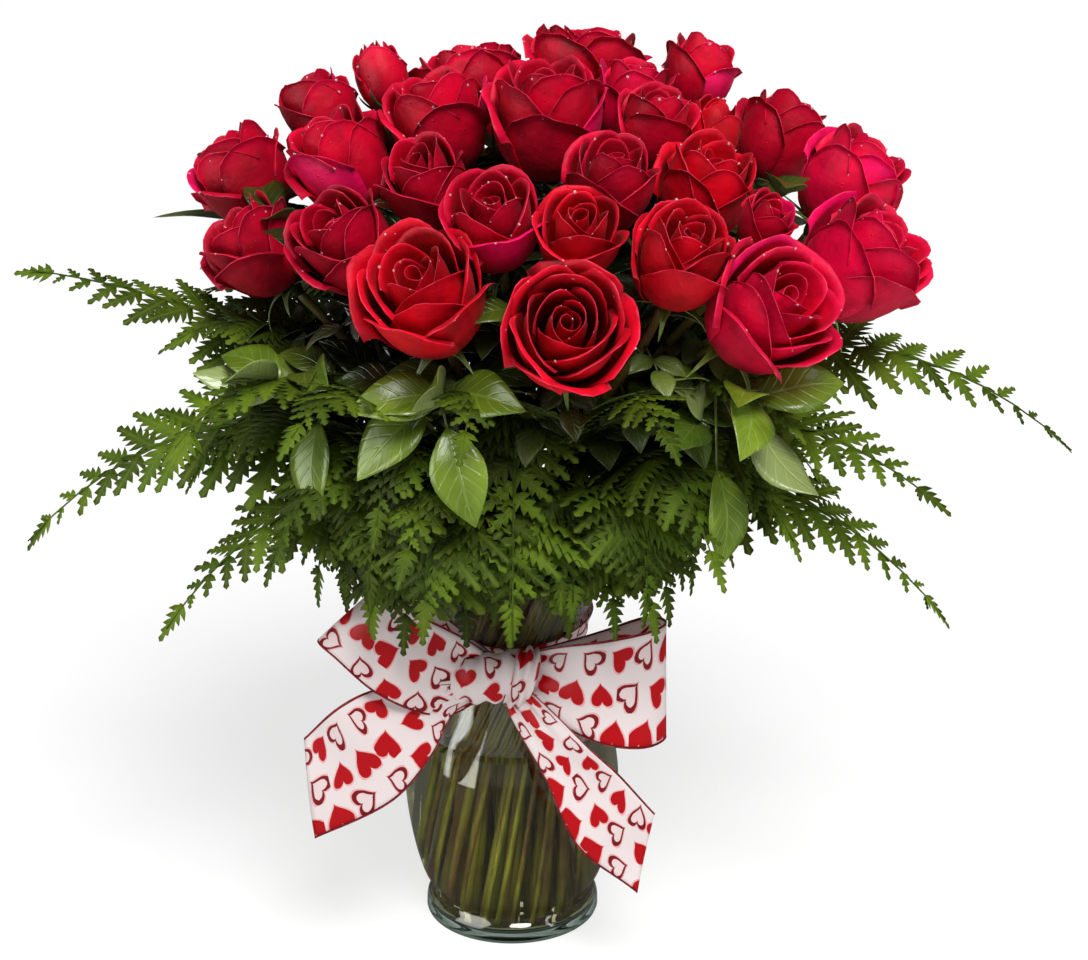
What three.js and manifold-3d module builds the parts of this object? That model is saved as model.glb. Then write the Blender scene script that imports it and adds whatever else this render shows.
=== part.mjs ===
// Roses in a clear glass vase, with fern fronds, leafy stems and a ribbon tied in a bow.
// Millimetres, +Z up. The origin is the middle of the vase's flat foot, and the front faces -Y.

import * as THREE from "three";
import Module from "manifold-3d";
import { mergeVertices } from "three/addons/utils/BufferGeometryUtils.js";

const wasm = await Module();
wasm.setup();

// Clearance between neighbours
const GAP = 0.3;

// Points nearer than this are one point
const MERGE_WITHIN = 1e-4;

// Vase: radius and height of the outer glass, foot to mouth
const VASE_SIDES = 24;
const VASE_OUTLINE = [
  [51, 2], [50.5, 9], [47, 15], [53, 28], [59.5, 54], [62.8, 84],
  [61, 104], [54, 126], [43.5, 146], [39, 162], [42, 180], [47.5, 201], [54, 222],
];
const VASE_STEPS = 12;
const FOOT_RADIUS = 49;
const GLASS_WALL = 3;
const GLASS_FLOOR = 14;
const FLOOR_RADIUS = 42;
const INNER_START = 26;
const MOUTH_HEIGHT = 222;
const WATER_LEVEL = 122;

// Stems: each runs straight through the vase, turned about the axis as it rises
const WAIST_HEIGHT = 160;
const STEM_FOOT = 22;
const STEM_RADIUS = 2.5;
const STEM_SIDES = 5;
const BUNDLE_RING = 21;
const BUNDLE_SPACING = 3.8;
const BUNDLE_TURN = 0.0058;
const STEM_TURN = 0.016;
const NECK_LAG = 35;
const STEM_CURVE_STEPS = 3;
const STEM_STIFFNESS = 0.36;
const BEND_HEIGHT = MOUTH_HEIGHT + 4;
const STALK_RING = 31.5;
const STALK_RADIUS = 1.5;
const STALK_SIDES = 4;

// Holes in the water: wider than the stems, and longer than the water is deep
const HOLE_CLEARANCE = GAP * 1.2;
const HOLE_BELOW = 1;
const HOLE_ABOVE = 5;

// Dome of blooms: every bloom looks away from its heart
const HEART = new THREE.Vector3(20, -10, 330);
const GOLDEN_TURN = 137.5;

// Bloom outlines: fractions of the bloom's radius, from the base pole to the middle
const FORMS = {
  cup: {
    columns: 15,
    top: 1.78,
    levels: [
      { r: 0.36, z: 0.14 },
      { r: 0.86, z: 0.8 },
      { r: 0.98, z: 1.5, lobes: 5, cut: 0.24 },
      { r: 0.66, z: 1.22 },
      { r: 0.7, z: 1.86, lobes: 5, cut: 0.18, shift: 0.5 },
      { r: 0.4, z: 1.52 },
      { r: 0.36, z: 2, lobes: 3, cut: 0.14, shift: 0.2 },
    ],
  },
  open: {
    columns: 15,
    top: 1.1,
    levels: [
      { r: 0.36, z: 0.12 },
      { r: 0.86, z: 0.58 },
      { r: 0.97, z: 0.96, lobes: 5, cut: 0.16 },
      { r: 0.7, z: 0.82 },
      { r: 0.68, z: 1.26, lobes: 5, cut: 0.14, shift: 0.5 },
      { r: 0.4, z: 1.02 },
      { r: 0.34, z: 1.36, lobes: 3, cut: 0.1, shift: 0.25 },
    ],
  },
  small: {
    columns: 12,
    top: 1.82,
    levels: [
      { r: 0.38, z: 0.14 },
      { r: 0.86, z: 0.86 },
      { r: 0.94, z: 1.54, lobes: 4, cut: 0.24 },
      { r: 0.62, z: 1.26 },
      { r: 0.64, z: 1.92, lobes: 4, cut: 0.18, shift: 0.5 },
      { r: 0.36, z: 1.58 },
      { r: 0.3, z: 2.04, lobes: 3, cut: 0.14, shift: 0.2 },
    ],
  },
  bud: {
    columns: 10,
    top: 2.3,
    levels: [
      { r: 0.5, z: 0.18 },
      { r: 0.96, z: 0.95 },
      { r: 0.74, z: 1.95, lobes: 5, cut: 0.3 },
      { r: 0.52, z: 1.75 },
      { r: 0.3, z: 2.42, lobes: 5, cut: 0.2, shift: 0.5 },
    ],
  },
};
const LOBE_OVERLAP = 0.08;
const BLOOM_ABOVE = 0.42;

// Blooms by bundle: middle of the bloom, its diameter and its form
const BUNDLES = {
  middle: [
    { at: [-39, 2, 484], d: 58 },
    { at: [21, -22, 492], d: 66 },
    { at: [68, 19, 490], d: 50 },
    { at: [78, -27, 488], d: 44, form: "small" },
  ],
  left: [
    { at: [-150, 25, 446], d: 56 },
    { at: [-107, 47, 478], d: 46, form: "small" },
    { at: [-93, -6, 464], d: 58 },
    { at: [-140, -22, 418], d: 54 },
  ],
  front_left: [
    { at: [-86, -92, 442], d: 56 },
    { at: [-43, -80, 470], d: 50, form: "small" },
    { at: [-42, -140, 428], d: 66 },
  ],
  front: [
    { at: [-7, -116, 460], d: 52, form: "small" },
    { at: [30, -162, 416], d: 68 },
    { at: [37, -127, 456], d: 46, form: "small" },
    { at: [54, -90, 474], d: 50, form: "small" },
    { at: [89, -130, 446], d: 56 },
  ],
  right: [
    { at: [105, -63, 464], d: 56 },
    { at: [134, -98, 454], d: 32, form: "small" },
    { at: [136, -124, 415], d: 68 },
    { at: [192, -38, 416], d: 68 },
  ],
  back_right: [
    { at: [106, 58, 496], d: 44, form: "small" },
    { at: [110, -2, 480], d: 38, form: "bud" },
    { at: [154, 62, 458], d: 54 },
    { at: [190, 14, 446], d: 60 },
    { at: [118, 108, 432], d: 58, form: "small" },
  ],
  back: [
    { at: [41, 64, 494], d: 64, form: "open" },
    { at: [12, 128, 446], d: 60, form: "small" },
    { at: [68, 128, 442], d: 58 },
    { at: [38, 165, 398], d: 58, form: "small" },
  ],
  back_left: [
    { at: [-74, 60, 498], d: 34, form: "bud" },
    { at: [-22, 60, 484], d: 64, form: "open" },
    { at: [-104, 98, 436], d: 56, form: "small" },
    { at: [-46, 118, 446], d: 60 },
  ],
};

// Hip and sepals at the top of each rose stem, the sepals one to each side of the stem
const HIP_RADIUS = 4.4;
const HIP_DEPTH = 1.4;
const SEPAL_LENGTH = 0.3;
const SEPAL_DROP = 0.1;

// Leaflets of a frond: where each corner lies, as shares of the pitch and of the leaflet's length
const LEAF_THICKNESS = 0.7;
const FROND_RIB = 1.6;
const LEAFLET_LOWER = { along: 0.33, out: 0.55 };
const LEAFLET_TIP = { along: 1.25, out: 1 };
const LEAFLET_UPPER = { along: 1.17, out: 0.5 };
const LEAFLET_FIRST = 0.62;
const LEAFLET_GAIN = 0.3;
const END_TOOTH = { along: -0.35, out: 0.12 };
const END_SHARE = 1.02;
const END_PITCHES = 0.6;
const TAPER_PITCHES = 0.5;
const FROND_TAPER = 1.6;
const FROND_DROOP = 0.0022;
const FROND_RISE = 0.7;
const STALK_INTO_BLADE = 0.02;
const STALK_END = 0.8;

// Fern fronds: azimuth, reach and height of the tip, the arch's height and its share of the reach,
// the share of the curve where the blade starts, the longest leaflet, and the blade's sideways tilt
const FRONDS = {
  left_upper: {
    azimuth: 174, reach: 272, tip: 388, arch: 378,
    out: 0.62, start: 0.38, width: 54, leaflets: 8,
  },
  left_long: {
    azimuth: 192, reach: 272, tip: 258, arch: 362,
    out: 0.64, start: 0.36, width: 58, leaflets: 8, roll: -8,
  },
  left_lower: {
    azimuth: 209, reach: 212, tip: 226, arch: 318,
    out: 0.64, start: 0.36, width: 50, leaflets: 7, roll: 8,
  },
  front_left: {
    azimuth: 238, reach: 142, tip: 230, arch: 388,
    out: 0.85, start: 0.42, width: 50, leaflets: 7, roll: -12,
  },
  front: {
    azimuth: 271, reach: 146, tip: 234, arch: 420,
    out: 0.85, start: 0.42, width: 50, leaflets: 7,
  },
  front_right: {
    azimuth: 303, reach: 142, tip: 232, arch: 374,
    out: 0.85, start: 0.42, width: 50, leaflets: 7, roll: 12,
  },
  right_lower: {
    azimuth: 346, reach: 250, tip: 212, arch: 322,
    out: 0.64, start: 0.36, width: 54, leaflets: 7,
  },
  right: {
    azimuth: 335, reach: 252, tip: 300, arch: 364,
    out: 0.64, start: 0.38, width: 52, leaflets: 7, roll: 8,
  },
  right_long: {
    azimuth: 2, reach: 320, tip: 286, arch: 402,
    out: 0.62, start: 0.34, width: 58, leaflets: 9,
  },
  back_right: {
    azimuth: 39, reach: 235, tip: 280, arch: 362,
    out: 0.66, start: 0.36, width: 56, leaflets: 7,
  },
  back: {
    azimuth: 84, reach: 215, tip: 265, arch: 362,
    out: 0.7, start: 0.36, width: 56, leaflets: 7,
  },
  back_left: {
    azimuth: 134, reach: 235, tip: 285, arch: 362,
    out: 0.66, start: 0.36, width: 56, leaflets: 7,
  },
};

// Leafy stems: the end of each stem, and each leaf's place along it, tip and width
const LEAF_STEPS = 4;
const LEAF_ARCH = 0.12;
const LEAF_WAVES = [0.1, 0.2];
const LEAF_BROADEST = 0.85;
const LEAF_UPWARD = 0.8;
const LEAFY_RISE = 100;
const LEAFY_TAPER = 0.06;
const LEAFY_STEMS = {
  front: {
    azimuth: 253,
    arch: [-26, -92, 400],
    end: [-34, -148, 366],
    leaves: [
      { along: 0.86, tip: [-78, -140, 326], width: 30 },
      { along: 0.92, tip: [-82, -146, 366], width: 28 },
      { along: 0.9, tip: [10, -172, 376], width: 28 },
      { along: 0.97, tip: [-34, -182, 394], width: 28 },
      { along: 0.98, tip: [-16, -160, 308], width: 30 },
    ],
  },
  left: {
    azimuth: 220,
    arch: [-72, -60, 372],
    end: [-125, -100, 366],
    leaves: [
      { along: 0.84, tip: [-100, -112, 292], width: 28 },
      { along: 0.78, tip: [-150, -66, 348], width: 28 },
      { along: 0.86, tip: [-92, -128, 372], width: 26 },
      { along: 0.93, tip: [-168, -84, 366], width: 28 },
      { along: 0.98, tip: [-146, -136, 378], width: 28 },
    ],
  },
  right: {
    azimuth: 325,
    arch: [86, -70, 378],
    end: [130, -130, 366],
    leaves: [
      { along: 0.84, tip: [112, -120, 268], width: 30 },
      { along: 0.8, tip: [92, -142, 372], width: 30 },
      { along: 0.9, tip: [162, -140, 318], width: 32 },
      { along: 0.95, tip: [118, -174, 350], width: 30 },
      { along: 0.98, tip: [176, -112, 370], width: 30 },
    ],
  },
  back: {
    azimuth: 108,
    arch: [-30, 88, 372],
    end: [-40, 150, 366],
    leaves: [
      { along: 0.84, tip: [-66, 148, 306], width: 30 },
      { along: 0.8, tip: [4, 160, 352], width: 30 },
      { along: 0.9, tip: [-88, 164, 352], width: 30 },
      { along: 0.98, tip: [-40, 200, 346], width: 30 },
    ],
  },
};

// Ribbon: a band round the neck, a knot, two loops and two tails, each by its two edges
const RIBBON_THICKNESS = 0.8;
const BAND_HEIGHTS = [152, 162, 196];
const BAND_THICKNESS = 1.2;
const BAND_CLEARANCE = GAP * 1.5;
const KNOT_PLACE = [-3, -55, 178];
const KNOT_SIZE = [18, 12, 18];
const LOOP_STEPS = 10;
const TAIL_STEPS = 7;
const RIBBON_EDGES = {
  left_loop: {
    steps: LOOP_STEPS,
    upper: [[-8, -56, 186], [-26, -66, 204], [-48, -78, 222], [-63, -80, 236], [-70, -72, 240],
      [-63, -62, 236], [-44, -60, 220], [-8, -52, 186]],
    lower: [[-8, -58, 170], [-34, -70, 158], [-72, -86, 178], [-97, -82, 199], [-106, -72, 204],
      [-98, -62, 201], [-70, -60, 180], [-8, -54, 170]],
  },
  right_loop: {
    steps: LOOP_STEPS,
    upper: [[2, -56, 188], [28, -68, 199], [55, -74, 206], [80, -66, 208], [88, -54, 208],
      [80, -44, 207], [52, -48, 200], [2, -52, 186]],
    lower: [[2, -58, 170], [24, -72, 156], [50, -82, 146], [76, -76, 141], [88, -62, 141],
      [82, -52, 143], [54, -56, 152], [2, -54, 170]],
  },
  left_tail: {
    steps: TAIL_STEPS,
    upper: [[-8, -62, 180], [-40, -72, 180], [-76, -76, 176], [-94, -78, 168], [-116, -72, 144]],
    lower: [[-8, -62, 166], [-31, -70, 160], [-44, -80, 138], [-64, -84, 113], [-111, -74, 83]],
  },
  right_tail: {
    steps: TAIL_STEPS,
    upper: [[2, -62, 178], [16, -70, 168], [45, -84, 144], [62, -88, 128], [81, -86, 105]],
    lower: [[-4, -62, 166], [0, -70, 158], [20, -82, 123], [39, -88, 84], [72, -88, 55]],
  },
};

// Finishes
const GLASS = new THREE.MeshStandardMaterial({
  color: 0xe4efec, roughness: 0.05, metalness: 0, transparent: true, opacity: 0.3,
});
const WATER = new THREE.MeshStandardMaterial({
  color: 0xd6e6e2, roughness: 0.05, metalness: 0, transparent: true, opacity: 0.3,
});
const PETAL = new THREE.MeshStandardMaterial({ color: 0xb3123a, roughness: 0.6, metalness: 0 });
const STEM = new THREE.MeshStandardMaterial({ color: 0x5c7440, roughness: 0.6, metalness: 0 });
const FERN = new THREE.MeshStandardMaterial({ color: 0x2f5d2a, roughness: 0.6, metalness: 0 });
const LEAF = new THREE.MeshStandardMaterial({ color: 0x6f9a45, roughness: 0.5, metalness: 0 });
const SATIN = new THREE.MeshStandardMaterial({ color: 0xf3dfe3, roughness: 0.4, metalness: 0 });

const radians = THREE.MathUtils.degToRad;

/** A closed geometry from points and triangles. */
function geometryOf(points, triangles) {
  const geometry = new THREE.BufferGeometry();
  const places = points.flatMap((point) => point.toArray());
  geometry.setAttribute("position", new THREE.Float32BufferAttribute(places, 3));
  geometry.setIndex(triangles.flat());
  geometry.computeVertexNormals();
  return geometry;
}

/** The solid of a closed geometry. */
function solidOf(geometry) {
  const bare = geometry.clone();
  bare.deleteAttribute("normal");
  bare.deleteAttribute("uv");
  const merged = mergeVertices(bare, MERGE_WITHIN);
  return new wasm.Manifold(
    new wasm.Mesh({
      numProp: 3,
      vertProperties: new Float32Array(merged.attributes.position.array),
      triVerts: new Uint32Array(merged.index.array),
    }),
  );
}

/** The geometry of a solid. */
function geometryOfSolid(solid) {
  const { vertProperties, triVerts } = solid.getMesh();
  const geometry = new THREE.BufferGeometry();
  geometry.setAttribute("position", new THREE.BufferAttribute(vertProperties, 3));
  geometry.setIndex(new THREE.BufferAttribute(triVerts, 1));
  geometry.computeVertexNormals();
  return geometry;
}

/** One geometry of several closed ones that run into each other. */
function fused(geometries) {
  const solids = geometries.map(solidOf);
  return geometryOfSolid(solids.slice(1).reduce((whole, next) => whole.add(next), solids[0]));
}

/** The triangles of two rings of points, the second above the first. */
function band(first, second, count) {
  const triangles = [];
  for (let i = 0; i < count; i += 1) {
    const next = (i + 1) % count;
    triangles.push([first + i, first + next, second + next]);
    triangles.push([first + i, second + next, second + i]);
  }
  return triangles;
}

/** The triangles of a flat end on a ring of points, facing along the tube or back along it. */
function cap(first, count, along) {
  const triangles = [];
  for (let i = 1; i < count - 1; i += 1) {
    triangles.push(along ? [first, first + i, first + i + 1] : [first, first + i + 1, first + i]);
  }
  return triangles;
}

/** The walls of a tube along points, with a radius at each. */
function tubeWalls(path, radii, sides) {
  const points = [];
  const triangles = [];
  let across = new THREE.Vector3(1, 0, 0);
  path.forEach((point, k) => {
    const before = path[Math.max(k - 1, 0)];
    const after = path[Math.min(k + 1, path.length - 1)];
    const along = after.clone().sub(before).normalize();
    across = across.clone().addScaledVector(along, -across.dot(along)).normalize();
    const other = along.clone().cross(across);
    for (let i = 0; i < sides; i += 1) {
      const angle = (2 * Math.PI * i) / sides;
      points.push(
        point.clone()
          .addScaledVector(across, radii[k] * Math.cos(angle))
          .addScaledVector(other, radii[k] * Math.sin(angle)),
      );
    }
    if (k > 0) triangles.push(...band((k - 1) * sides, k * sides, sides));
  });
  return { points, triangles };
}

/** A closed tube along points, with a radius at each and flat ends. */
function tube(path, radii, sides) {
  const { points, triangles } = tubeWalls(path, radii, sides);
  triangles.push(...cap(0, sides, false), ...cap(points.length - sides, sides, true));
  return geometryOf(points, triangles);
}

/** A closed sheet of even thickness on a surface of points and triangles, the same on both faces. */
function sheet(surface, triangles, thickness) {
  const normals = surface.map(() => new THREE.Vector3());
  const edges = new Map();
  triangles.forEach(([a, b, c]) => {
    const normal = surface[b].clone().sub(surface[a]).cross(surface[c].clone().sub(surface[a]));
    [a, b, c].forEach((i) => normals[i].add(normal));
    [[a, b], [b, c], [c, a]].forEach(([i, j]) => edges.set(`${i},${j}`, [i, j]));
  });
  normals.forEach((normal) => normal.normalize());
  const count = surface.length;
  const faces = surface.map((point, i) => point.clone().addScaledVector(normals[i], thickness / 2));
  const backs = surface.map((point, i) => point.clone().addScaledVector(normals[i], -thickness / 2));
  const all = triangles.flatMap(([a, b, c]) => [[a, b, c], [a + count, c + count, b + count]]);
  edges.forEach(([i, j]) => {
    if (edges.has(`${j},${i}`)) return;
    all.push([j, i, i + count]);
    all.push([j, i + count, j + count]);
  });
  return geometryOf([...faces, ...backs], all);
}

/** The vase's outline as points of radius and height, foot to mouth. */
function glassOutline() {
  const spline = new THREE.SplineCurve(VASE_OUTLINE.map(([r, z]) => new THREE.Vector2(r, z)));
  return spline.getPoints(VASE_STEPS);
}

/** The outer radius of the glass at a height. */
function glassRadius(height) {
  const outline = glassOutline();
  const above = Math.max(outline.findIndex((p) => p.y >= height), 1);
  const [low, high] = [outline[above - 1], outline[above]];
  return THREE.MathUtils.mapLinear(height, low.y, high.y, low.x, high.x);
}

/** A turned shape from points of radius and height that start and end on the axis. */
function turned(points) {
  const geometry = new THREE.LatheGeometry(points, VASE_SIDES);
  return geometry.rotateX(Math.PI / 2);
}

function vaseGeometry() {
  const outer = glassOutline();
  const inner = outer.filter((p) => p.y > INNER_START).map((p) => new THREE.Vector2(p.x - GLASS_WALL, p.y));
  return turned([
    new THREE.Vector2(0, 0),
    new THREE.Vector2(FOOT_RADIUS, 0),
    ...outer,
    ...inner.reverse(),
    new THREE.Vector2(FLOOR_RADIUS, GLASS_FLOOR),
    new THREE.Vector2(0, GLASS_FLOOR),
  ]);
}

function waterGeometry(stems) {
  const inset = GLASS_WALL + GAP;
  const wet = glassOutline().filter((p) => p.y > INNER_START && p.y < WATER_LEVEL);
  const body = turned([
    new THREE.Vector2(0, GLASS_FLOOR + GAP),
    new THREE.Vector2(FLOOR_RADIUS - GAP, GLASS_FLOOR + GAP),
    ...wet.map((p) => new THREE.Vector2(p.x - inset, p.y)),
    new THREE.Vector2(glassRadius(WATER_LEVEL) - inset, WATER_LEVEL),
    new THREE.Vector2(0, WATER_LEVEL),
  ]);
  const holes = stems.map(({ line, radius, sides }) => {
    const path = [line(STEM_FOOT - HOLE_BELOW), line(WATER_LEVEL + HOLE_ABOVE)];
    return solidOf(tube(path, path.map(() => radius + HOLE_CLEARANCE), sides));
  });
  const drilled = holes.reduce((whole, hole) => whole.subtract(hole), solidOf(body));
  return geometryOfSolid(drilled);
}

/** A point carried up or down its straight line: each slice of the bunch is turned and spread alike. */
function carried([x, y], rate, rise) {
  return [x - rate * rise * y, y + rate * rise * x];
}

/** The straight line, by height, of a stem pressed at an offset in a bundle with its middle at a place. */
function stemLine(middle, offset) {
  return (height) => {
    const rise = height - WAIST_HEIGHT;
    const [x, y] = carried(middle, BUNDLE_TURN, rise);
    const [u, v] = carried(offset, STEM_TURN, rise);
    return new THREE.Vector3(x + u, y + v, height);
  };
}

/** A place on a circle, by its azimuth in degrees. */
function onCircle(radius, azimuth) {
  return [radius * Math.cos(radians(azimuth)), radius * Math.sin(radians(azimuth))];
}

/** Where a stem starts to bend, just above the mouth, and its direction there. */
function leavingMouth(line) {
  const start = line(BEND_HEIGHT);
  return { start, leaving: start.clone().sub(line(WAIST_HEIGHT)).normalize() };
}

/** The smooth curve that a rose stem follows from the mouth to an end that it meets along a direction. */
function roseCurve(line, end, arriving) {
  const { start, leaving } = leavingMouth(line);
  const handle = start.distanceTo(end) * STEM_STIFFNESS;
  return new THREE.CubicBezierCurve3(
    start,
    start.clone().addScaledVector(leaving, handle),
    end.clone().addScaledVector(arriving, -handle),
    end,
  );
}

/** A bloom standing on its base at the origin, opening along +Z: cups of petals with lobed rims. */
function bloomGeometry(form, diameter) {
  const { columns, top, levels } = FORMS[form];
  const radius = diameter / 2;
  const points = [new THREE.Vector3(0, 0, 0)];
  const triangles = [];
  levels.forEach(({ r, z, lobes, cut = 0, shift = 0 }, level) => {
    for (let i = 0; i < columns; i += 1) {
      const angle = (2 * Math.PI * i) / columns;
      const across = lobes ? ((i * lobes) / columns + shift) % 1 : 0.5;
      const drop = cut * (2 * across - 1) ** 2;
      const out = radius * r * (1 + LOBE_OVERLAP * (across - 0.5));
      points.push(new THREE.Vector3(out * Math.cos(angle), out * Math.sin(angle), radius * (z - drop)));
    }
    if (level > 0) triangles.push(...band(1 + (level - 1) * columns, 1 + level * columns, columns));
  });
  const last = 1 + (levels.length - 1) * columns;
  points.push(new THREE.Vector3(0, 0, radius * top));
  for (let i = 0; i < columns; i += 1) {
    const next = (i + 1) % columns;
    triangles.push([0, 1 + next, 1 + i]);
    triangles.push([last + i, last + next, points.length - 1]);
  }
  return geometryOf(points, triangles);
}

/** The height of a bloom's form, from its base to its highest petals. */
function bloomHeight(form, diameter) {
  return (Math.max(...FORMS[form].levels.map((level) => level.z)) * diameter) / 2;
}

/** Turns a geometry from standing at the origin to standing at a place, along a direction. */
function stood(geometry, place, direction, roll) {
  const turn = new THREE.Quaternion().setFromUnitVectors(new THREE.Vector3(0, 0, 1), direction);
  return geometry.rotateZ(radians(roll)).applyQuaternion(turn).translate(place.x, place.y, place.z);
}

/** The azimuth, in degrees, of a place about the axis through another. */
function azimuthAbout([x, y], [middleX, middleY]) {
  return THREE.MathUtils.radToDeg(Math.atan2(y - middleY, x - middleX));
}

/** The mean of the places of some blooms, seen from above. */
function middleOf(blooms) {
  return [0, 1].map((axis) => blooms.reduce((sum, bloom) => sum + bloom.at[axis], 0) / blooms.length);
}

/** The blooms of a bundle with their stems' lines: neighbours above are neighbours in the neck. */
function arranged(blooms, place) {
  const middle = middleOf(blooms);
  const order = [...blooms].sort((a, b) => azimuthAbout(a.at, middle) - azimuthAbout(b.at, middle));
  const spread = BUNDLE_SPACING / (2 * Math.sin(Math.PI / order.length));
  const first = azimuthAbout(order[0].at, middle) - 2 * NECK_LAG;
  return order.map((bloom, k) => ({
    ...bloom,
    line: stemLine(place, onCircle(spread, first + (360 * k) / order.length)),
  }));
}

/** A rose stem from the vase's floor to its bloom: a tube that ends in a hip with five sepals. */
function roseStemGeometry({ line, base, facing, d }) {
  const seat = base.clone().addScaledVector(facing, -GAP);
  const hip = seat.clone().addScaledVector(facing, -HIP_DEPTH);
  const curve = roseCurve(line, hip, facing);
  const path = [line(STEM_FOOT), ...curve.getPoints(STEM_CURVE_STEPS)];
  const radii = path.map(() => STEM_RADIUS);
  radii[radii.length - 1] = HIP_RADIUS;
  const { points, triangles } = tubeWalls(path, radii, STEM_SIDES);
  const lower = points.length - STEM_SIDES;
  const upper = points.length;
  const sepals = upper + STEM_SIDES;
  points.slice(lower).forEach((point) => points.push(point.clone().addScaledVector(facing, HIP_DEPTH)));
  for (let i = 0; i < STEM_SIDES; i += 1) {
    const next = (i + 1) % STEM_SIDES;
    const root = points[lower + i].clone().add(points[upper + next]).multiplyScalar(0.5);
    const outward = root.clone().sub(hip.clone().lerp(seat, 0.5)).normalize();
    const tip = root.addScaledVector(outward, d * SEPAL_LENGTH).addScaledVector(facing, -d * SEPAL_DROP);
    points.push(tip);
    triangles.push([lower + i, lower + next, sepals + i], [upper + next, upper + i, sepals + i]);
    triangles.push([lower + next, upper + next, sepals + i], [upper + i, lower + i, sepals + i]);
  }
  triangles.push(...cap(0, STEM_SIDES, false), ...cap(upper, STEM_SIDES, true));
  return geometryOf(points, triangles);
}

/** The frame of a frond's blade: a point by its share of the curve and its distance to one side. */
function bladePoint(curve, side, share, offset) {
  const inside = Math.min(share, 1);
  const along = curve.getTangent(inside);
  const up = side.clone().cross(along).normalize();
  return curve.getPoint(inside)
    .addScaledVector(along, (share - inside) * curve.getLength())
    .addScaledVector(side, offset)
    .addScaledVector(up, -FROND_DROOP * offset * offset);
}

/** A frond's blade: pointed, toothed leaflets cut to the rib on both sides. */
function frondBlade(curve, side, { bladeStart, width, leaflets }) {
  const pitch = (1 - bladeStart) / (leaflets + END_PITCHES);
  const points = [];
  const triangles = [];
  const add = (share, offset) => points.push(bladePoint(curve, side, share, offset)) - 1;
  let [left, right] = [add(bladeStart, FROND_RIB), add(bladeStart, -FROND_RIB)];
  for (let k = 0; k < leaflets; k += 1) {
    const share = bladeStart + k * pitch;
    const gain = Math.min(1, LEAFLET_FIRST + LEAFLET_GAIN * k);
    const length = width * gain * (1 - (k / (leaflets + TAPER_PITCHES)) ** FROND_TAPER);
    const corners = ({ along, out }) =>
      [1, -1].map((hand) => add(share + along * pitch, hand * out * length));
    const [nextLeft, nextRight] = [add(share + pitch, FROND_RIB), add(share + pitch, -FROND_RIB)];
    const [lower, tip, upper] = [LEAFLET_LOWER, LEAFLET_TIP, LEAFLET_UPPER].map(corners);
    triangles.push([left, right, nextRight], [left, nextRight, nextLeft]);
    triangles.push([left, upper[0], lower[0]], [lower[0], upper[0], tip[0]], [left, nextLeft, upper[0]]);
    triangles.push([right, lower[1], upper[1]], [lower[1], tip[1], upper[1]], [right, upper[1], nextRight]);
    [left, right] = [nextLeft, nextRight];
  }
  const end = add(END_SHARE, 0);
  const teeth = [1, -1].map((hand) => add(1 + END_TOOTH.along * pitch, hand * END_TOOTH.out * width));
  triangles.push([left, right, end], [left, end, teeth[0]], [right, teeth[1], end]);
  return sheet(points, triangles, LEAF_THICKNESS);
}

/** The straight line of a green's stalk, in the ring round the rose stems. */
function stalkLine(azimuth) {
  return stemLine(onCircle(STALK_RING, azimuth - NECK_LAG), [0, 0]);
}

/** A fern frond: its stalk from the vase's floor, and its arched blade. */
function frondGeometry({ azimuth, reach, tip, arch, out, start: bladeStart, width, leaflets, roll = 0 }) {
  const line = stalkLine(azimuth);
  const { start, leaving } = leavingMouth(line);
  const [x, y] = onCircle(1, azimuth);
  const curve = new THREE.CubicBezierCurve3(
    start,
    start.clone().addScaledVector(leaving, (arch - start.z) * FROND_RISE),
    new THREE.Vector3(x * reach * out, y * reach * out, arch),
    new THREE.Vector3(x * reach, y * reach, tip),
  );
  const side = new THREE.Vector3(-y, x, Math.tan(radians(roll))).normalize();
  const shares = [0, bladeStart / 2, bladeStart + STALK_INTO_BLADE];
  const path = [line(STEM_FOOT), ...shares.map((share) => curve.getPoint(share))];
  const radii = path.map(() => STALK_RADIUS);
  radii[radii.length - 1] = STALK_RADIUS * STALK_END;
  const blade = frondBlade(curve, side, { bladeStart, width, leaflets });
  return {
    geometry: fused([tube(path, radii, STALK_SIDES), blade]),
    stem: { line, radius: STALK_RADIUS, sides: STALK_SIDES },
  };
}

/** A pointed leaf from its base to its tip, folded a little along its midrib. */
function leafGeometry(base, tip, width) {
  const along = tip.clone().sub(base);
  const length = along.length();
  along.normalize();
  const outward = new THREE.Vector3(base.x, base.y, 0).normalize();
  outward.z = LEAF_UPWARD;
  const side = outward.clone().cross(along).normalize();
  const up = along.clone().cross(side);
  const points = [];
  const triangles = [];
  const add = (share, offset, lift) =>
    points.push(
      base.clone()
        .addScaledVector(along, share * length)
        .addScaledVector(side, offset)
        .addScaledVector(up, lift + length * LEAF_ARCH * Math.sin(Math.PI * share)),
    ) - 1;
  const rib = [add(0, 0, 0)];
  let [left, right] = [rib[0], rib[0]];
  for (let k = 1; k < LEAF_STEPS; k += 1) {
    const share = k / LEAF_STEPS;
    const half = (width / 2) * Math.sin(Math.PI * share ** LEAF_BROADEST);
    const wave = LEAF_WAVES[k % 2];
    rib.push(add(share, 0, 0));
    const [nextLeft, nextRight] = [add(share, half, half * wave), add(share, -half, half * wave)];
    triangles.push([rib[k - 1], rib[k], nextLeft], [rib[k - 1], nextRight, rib[k]]);
    if (k > 1) triangles.push([rib[k - 1], nextLeft, left], [rib[k - 1], right, nextRight]);
    [left, right] = [nextLeft, nextRight];
  }
  const end = add(1, 0, 0);
  triangles.push([rib[LEAF_STEPS - 1], end, left], [rib[LEAF_STEPS - 1], right, end]);
  return sheet(points, triangles, LEAF_THICKNESS);
}

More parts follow.
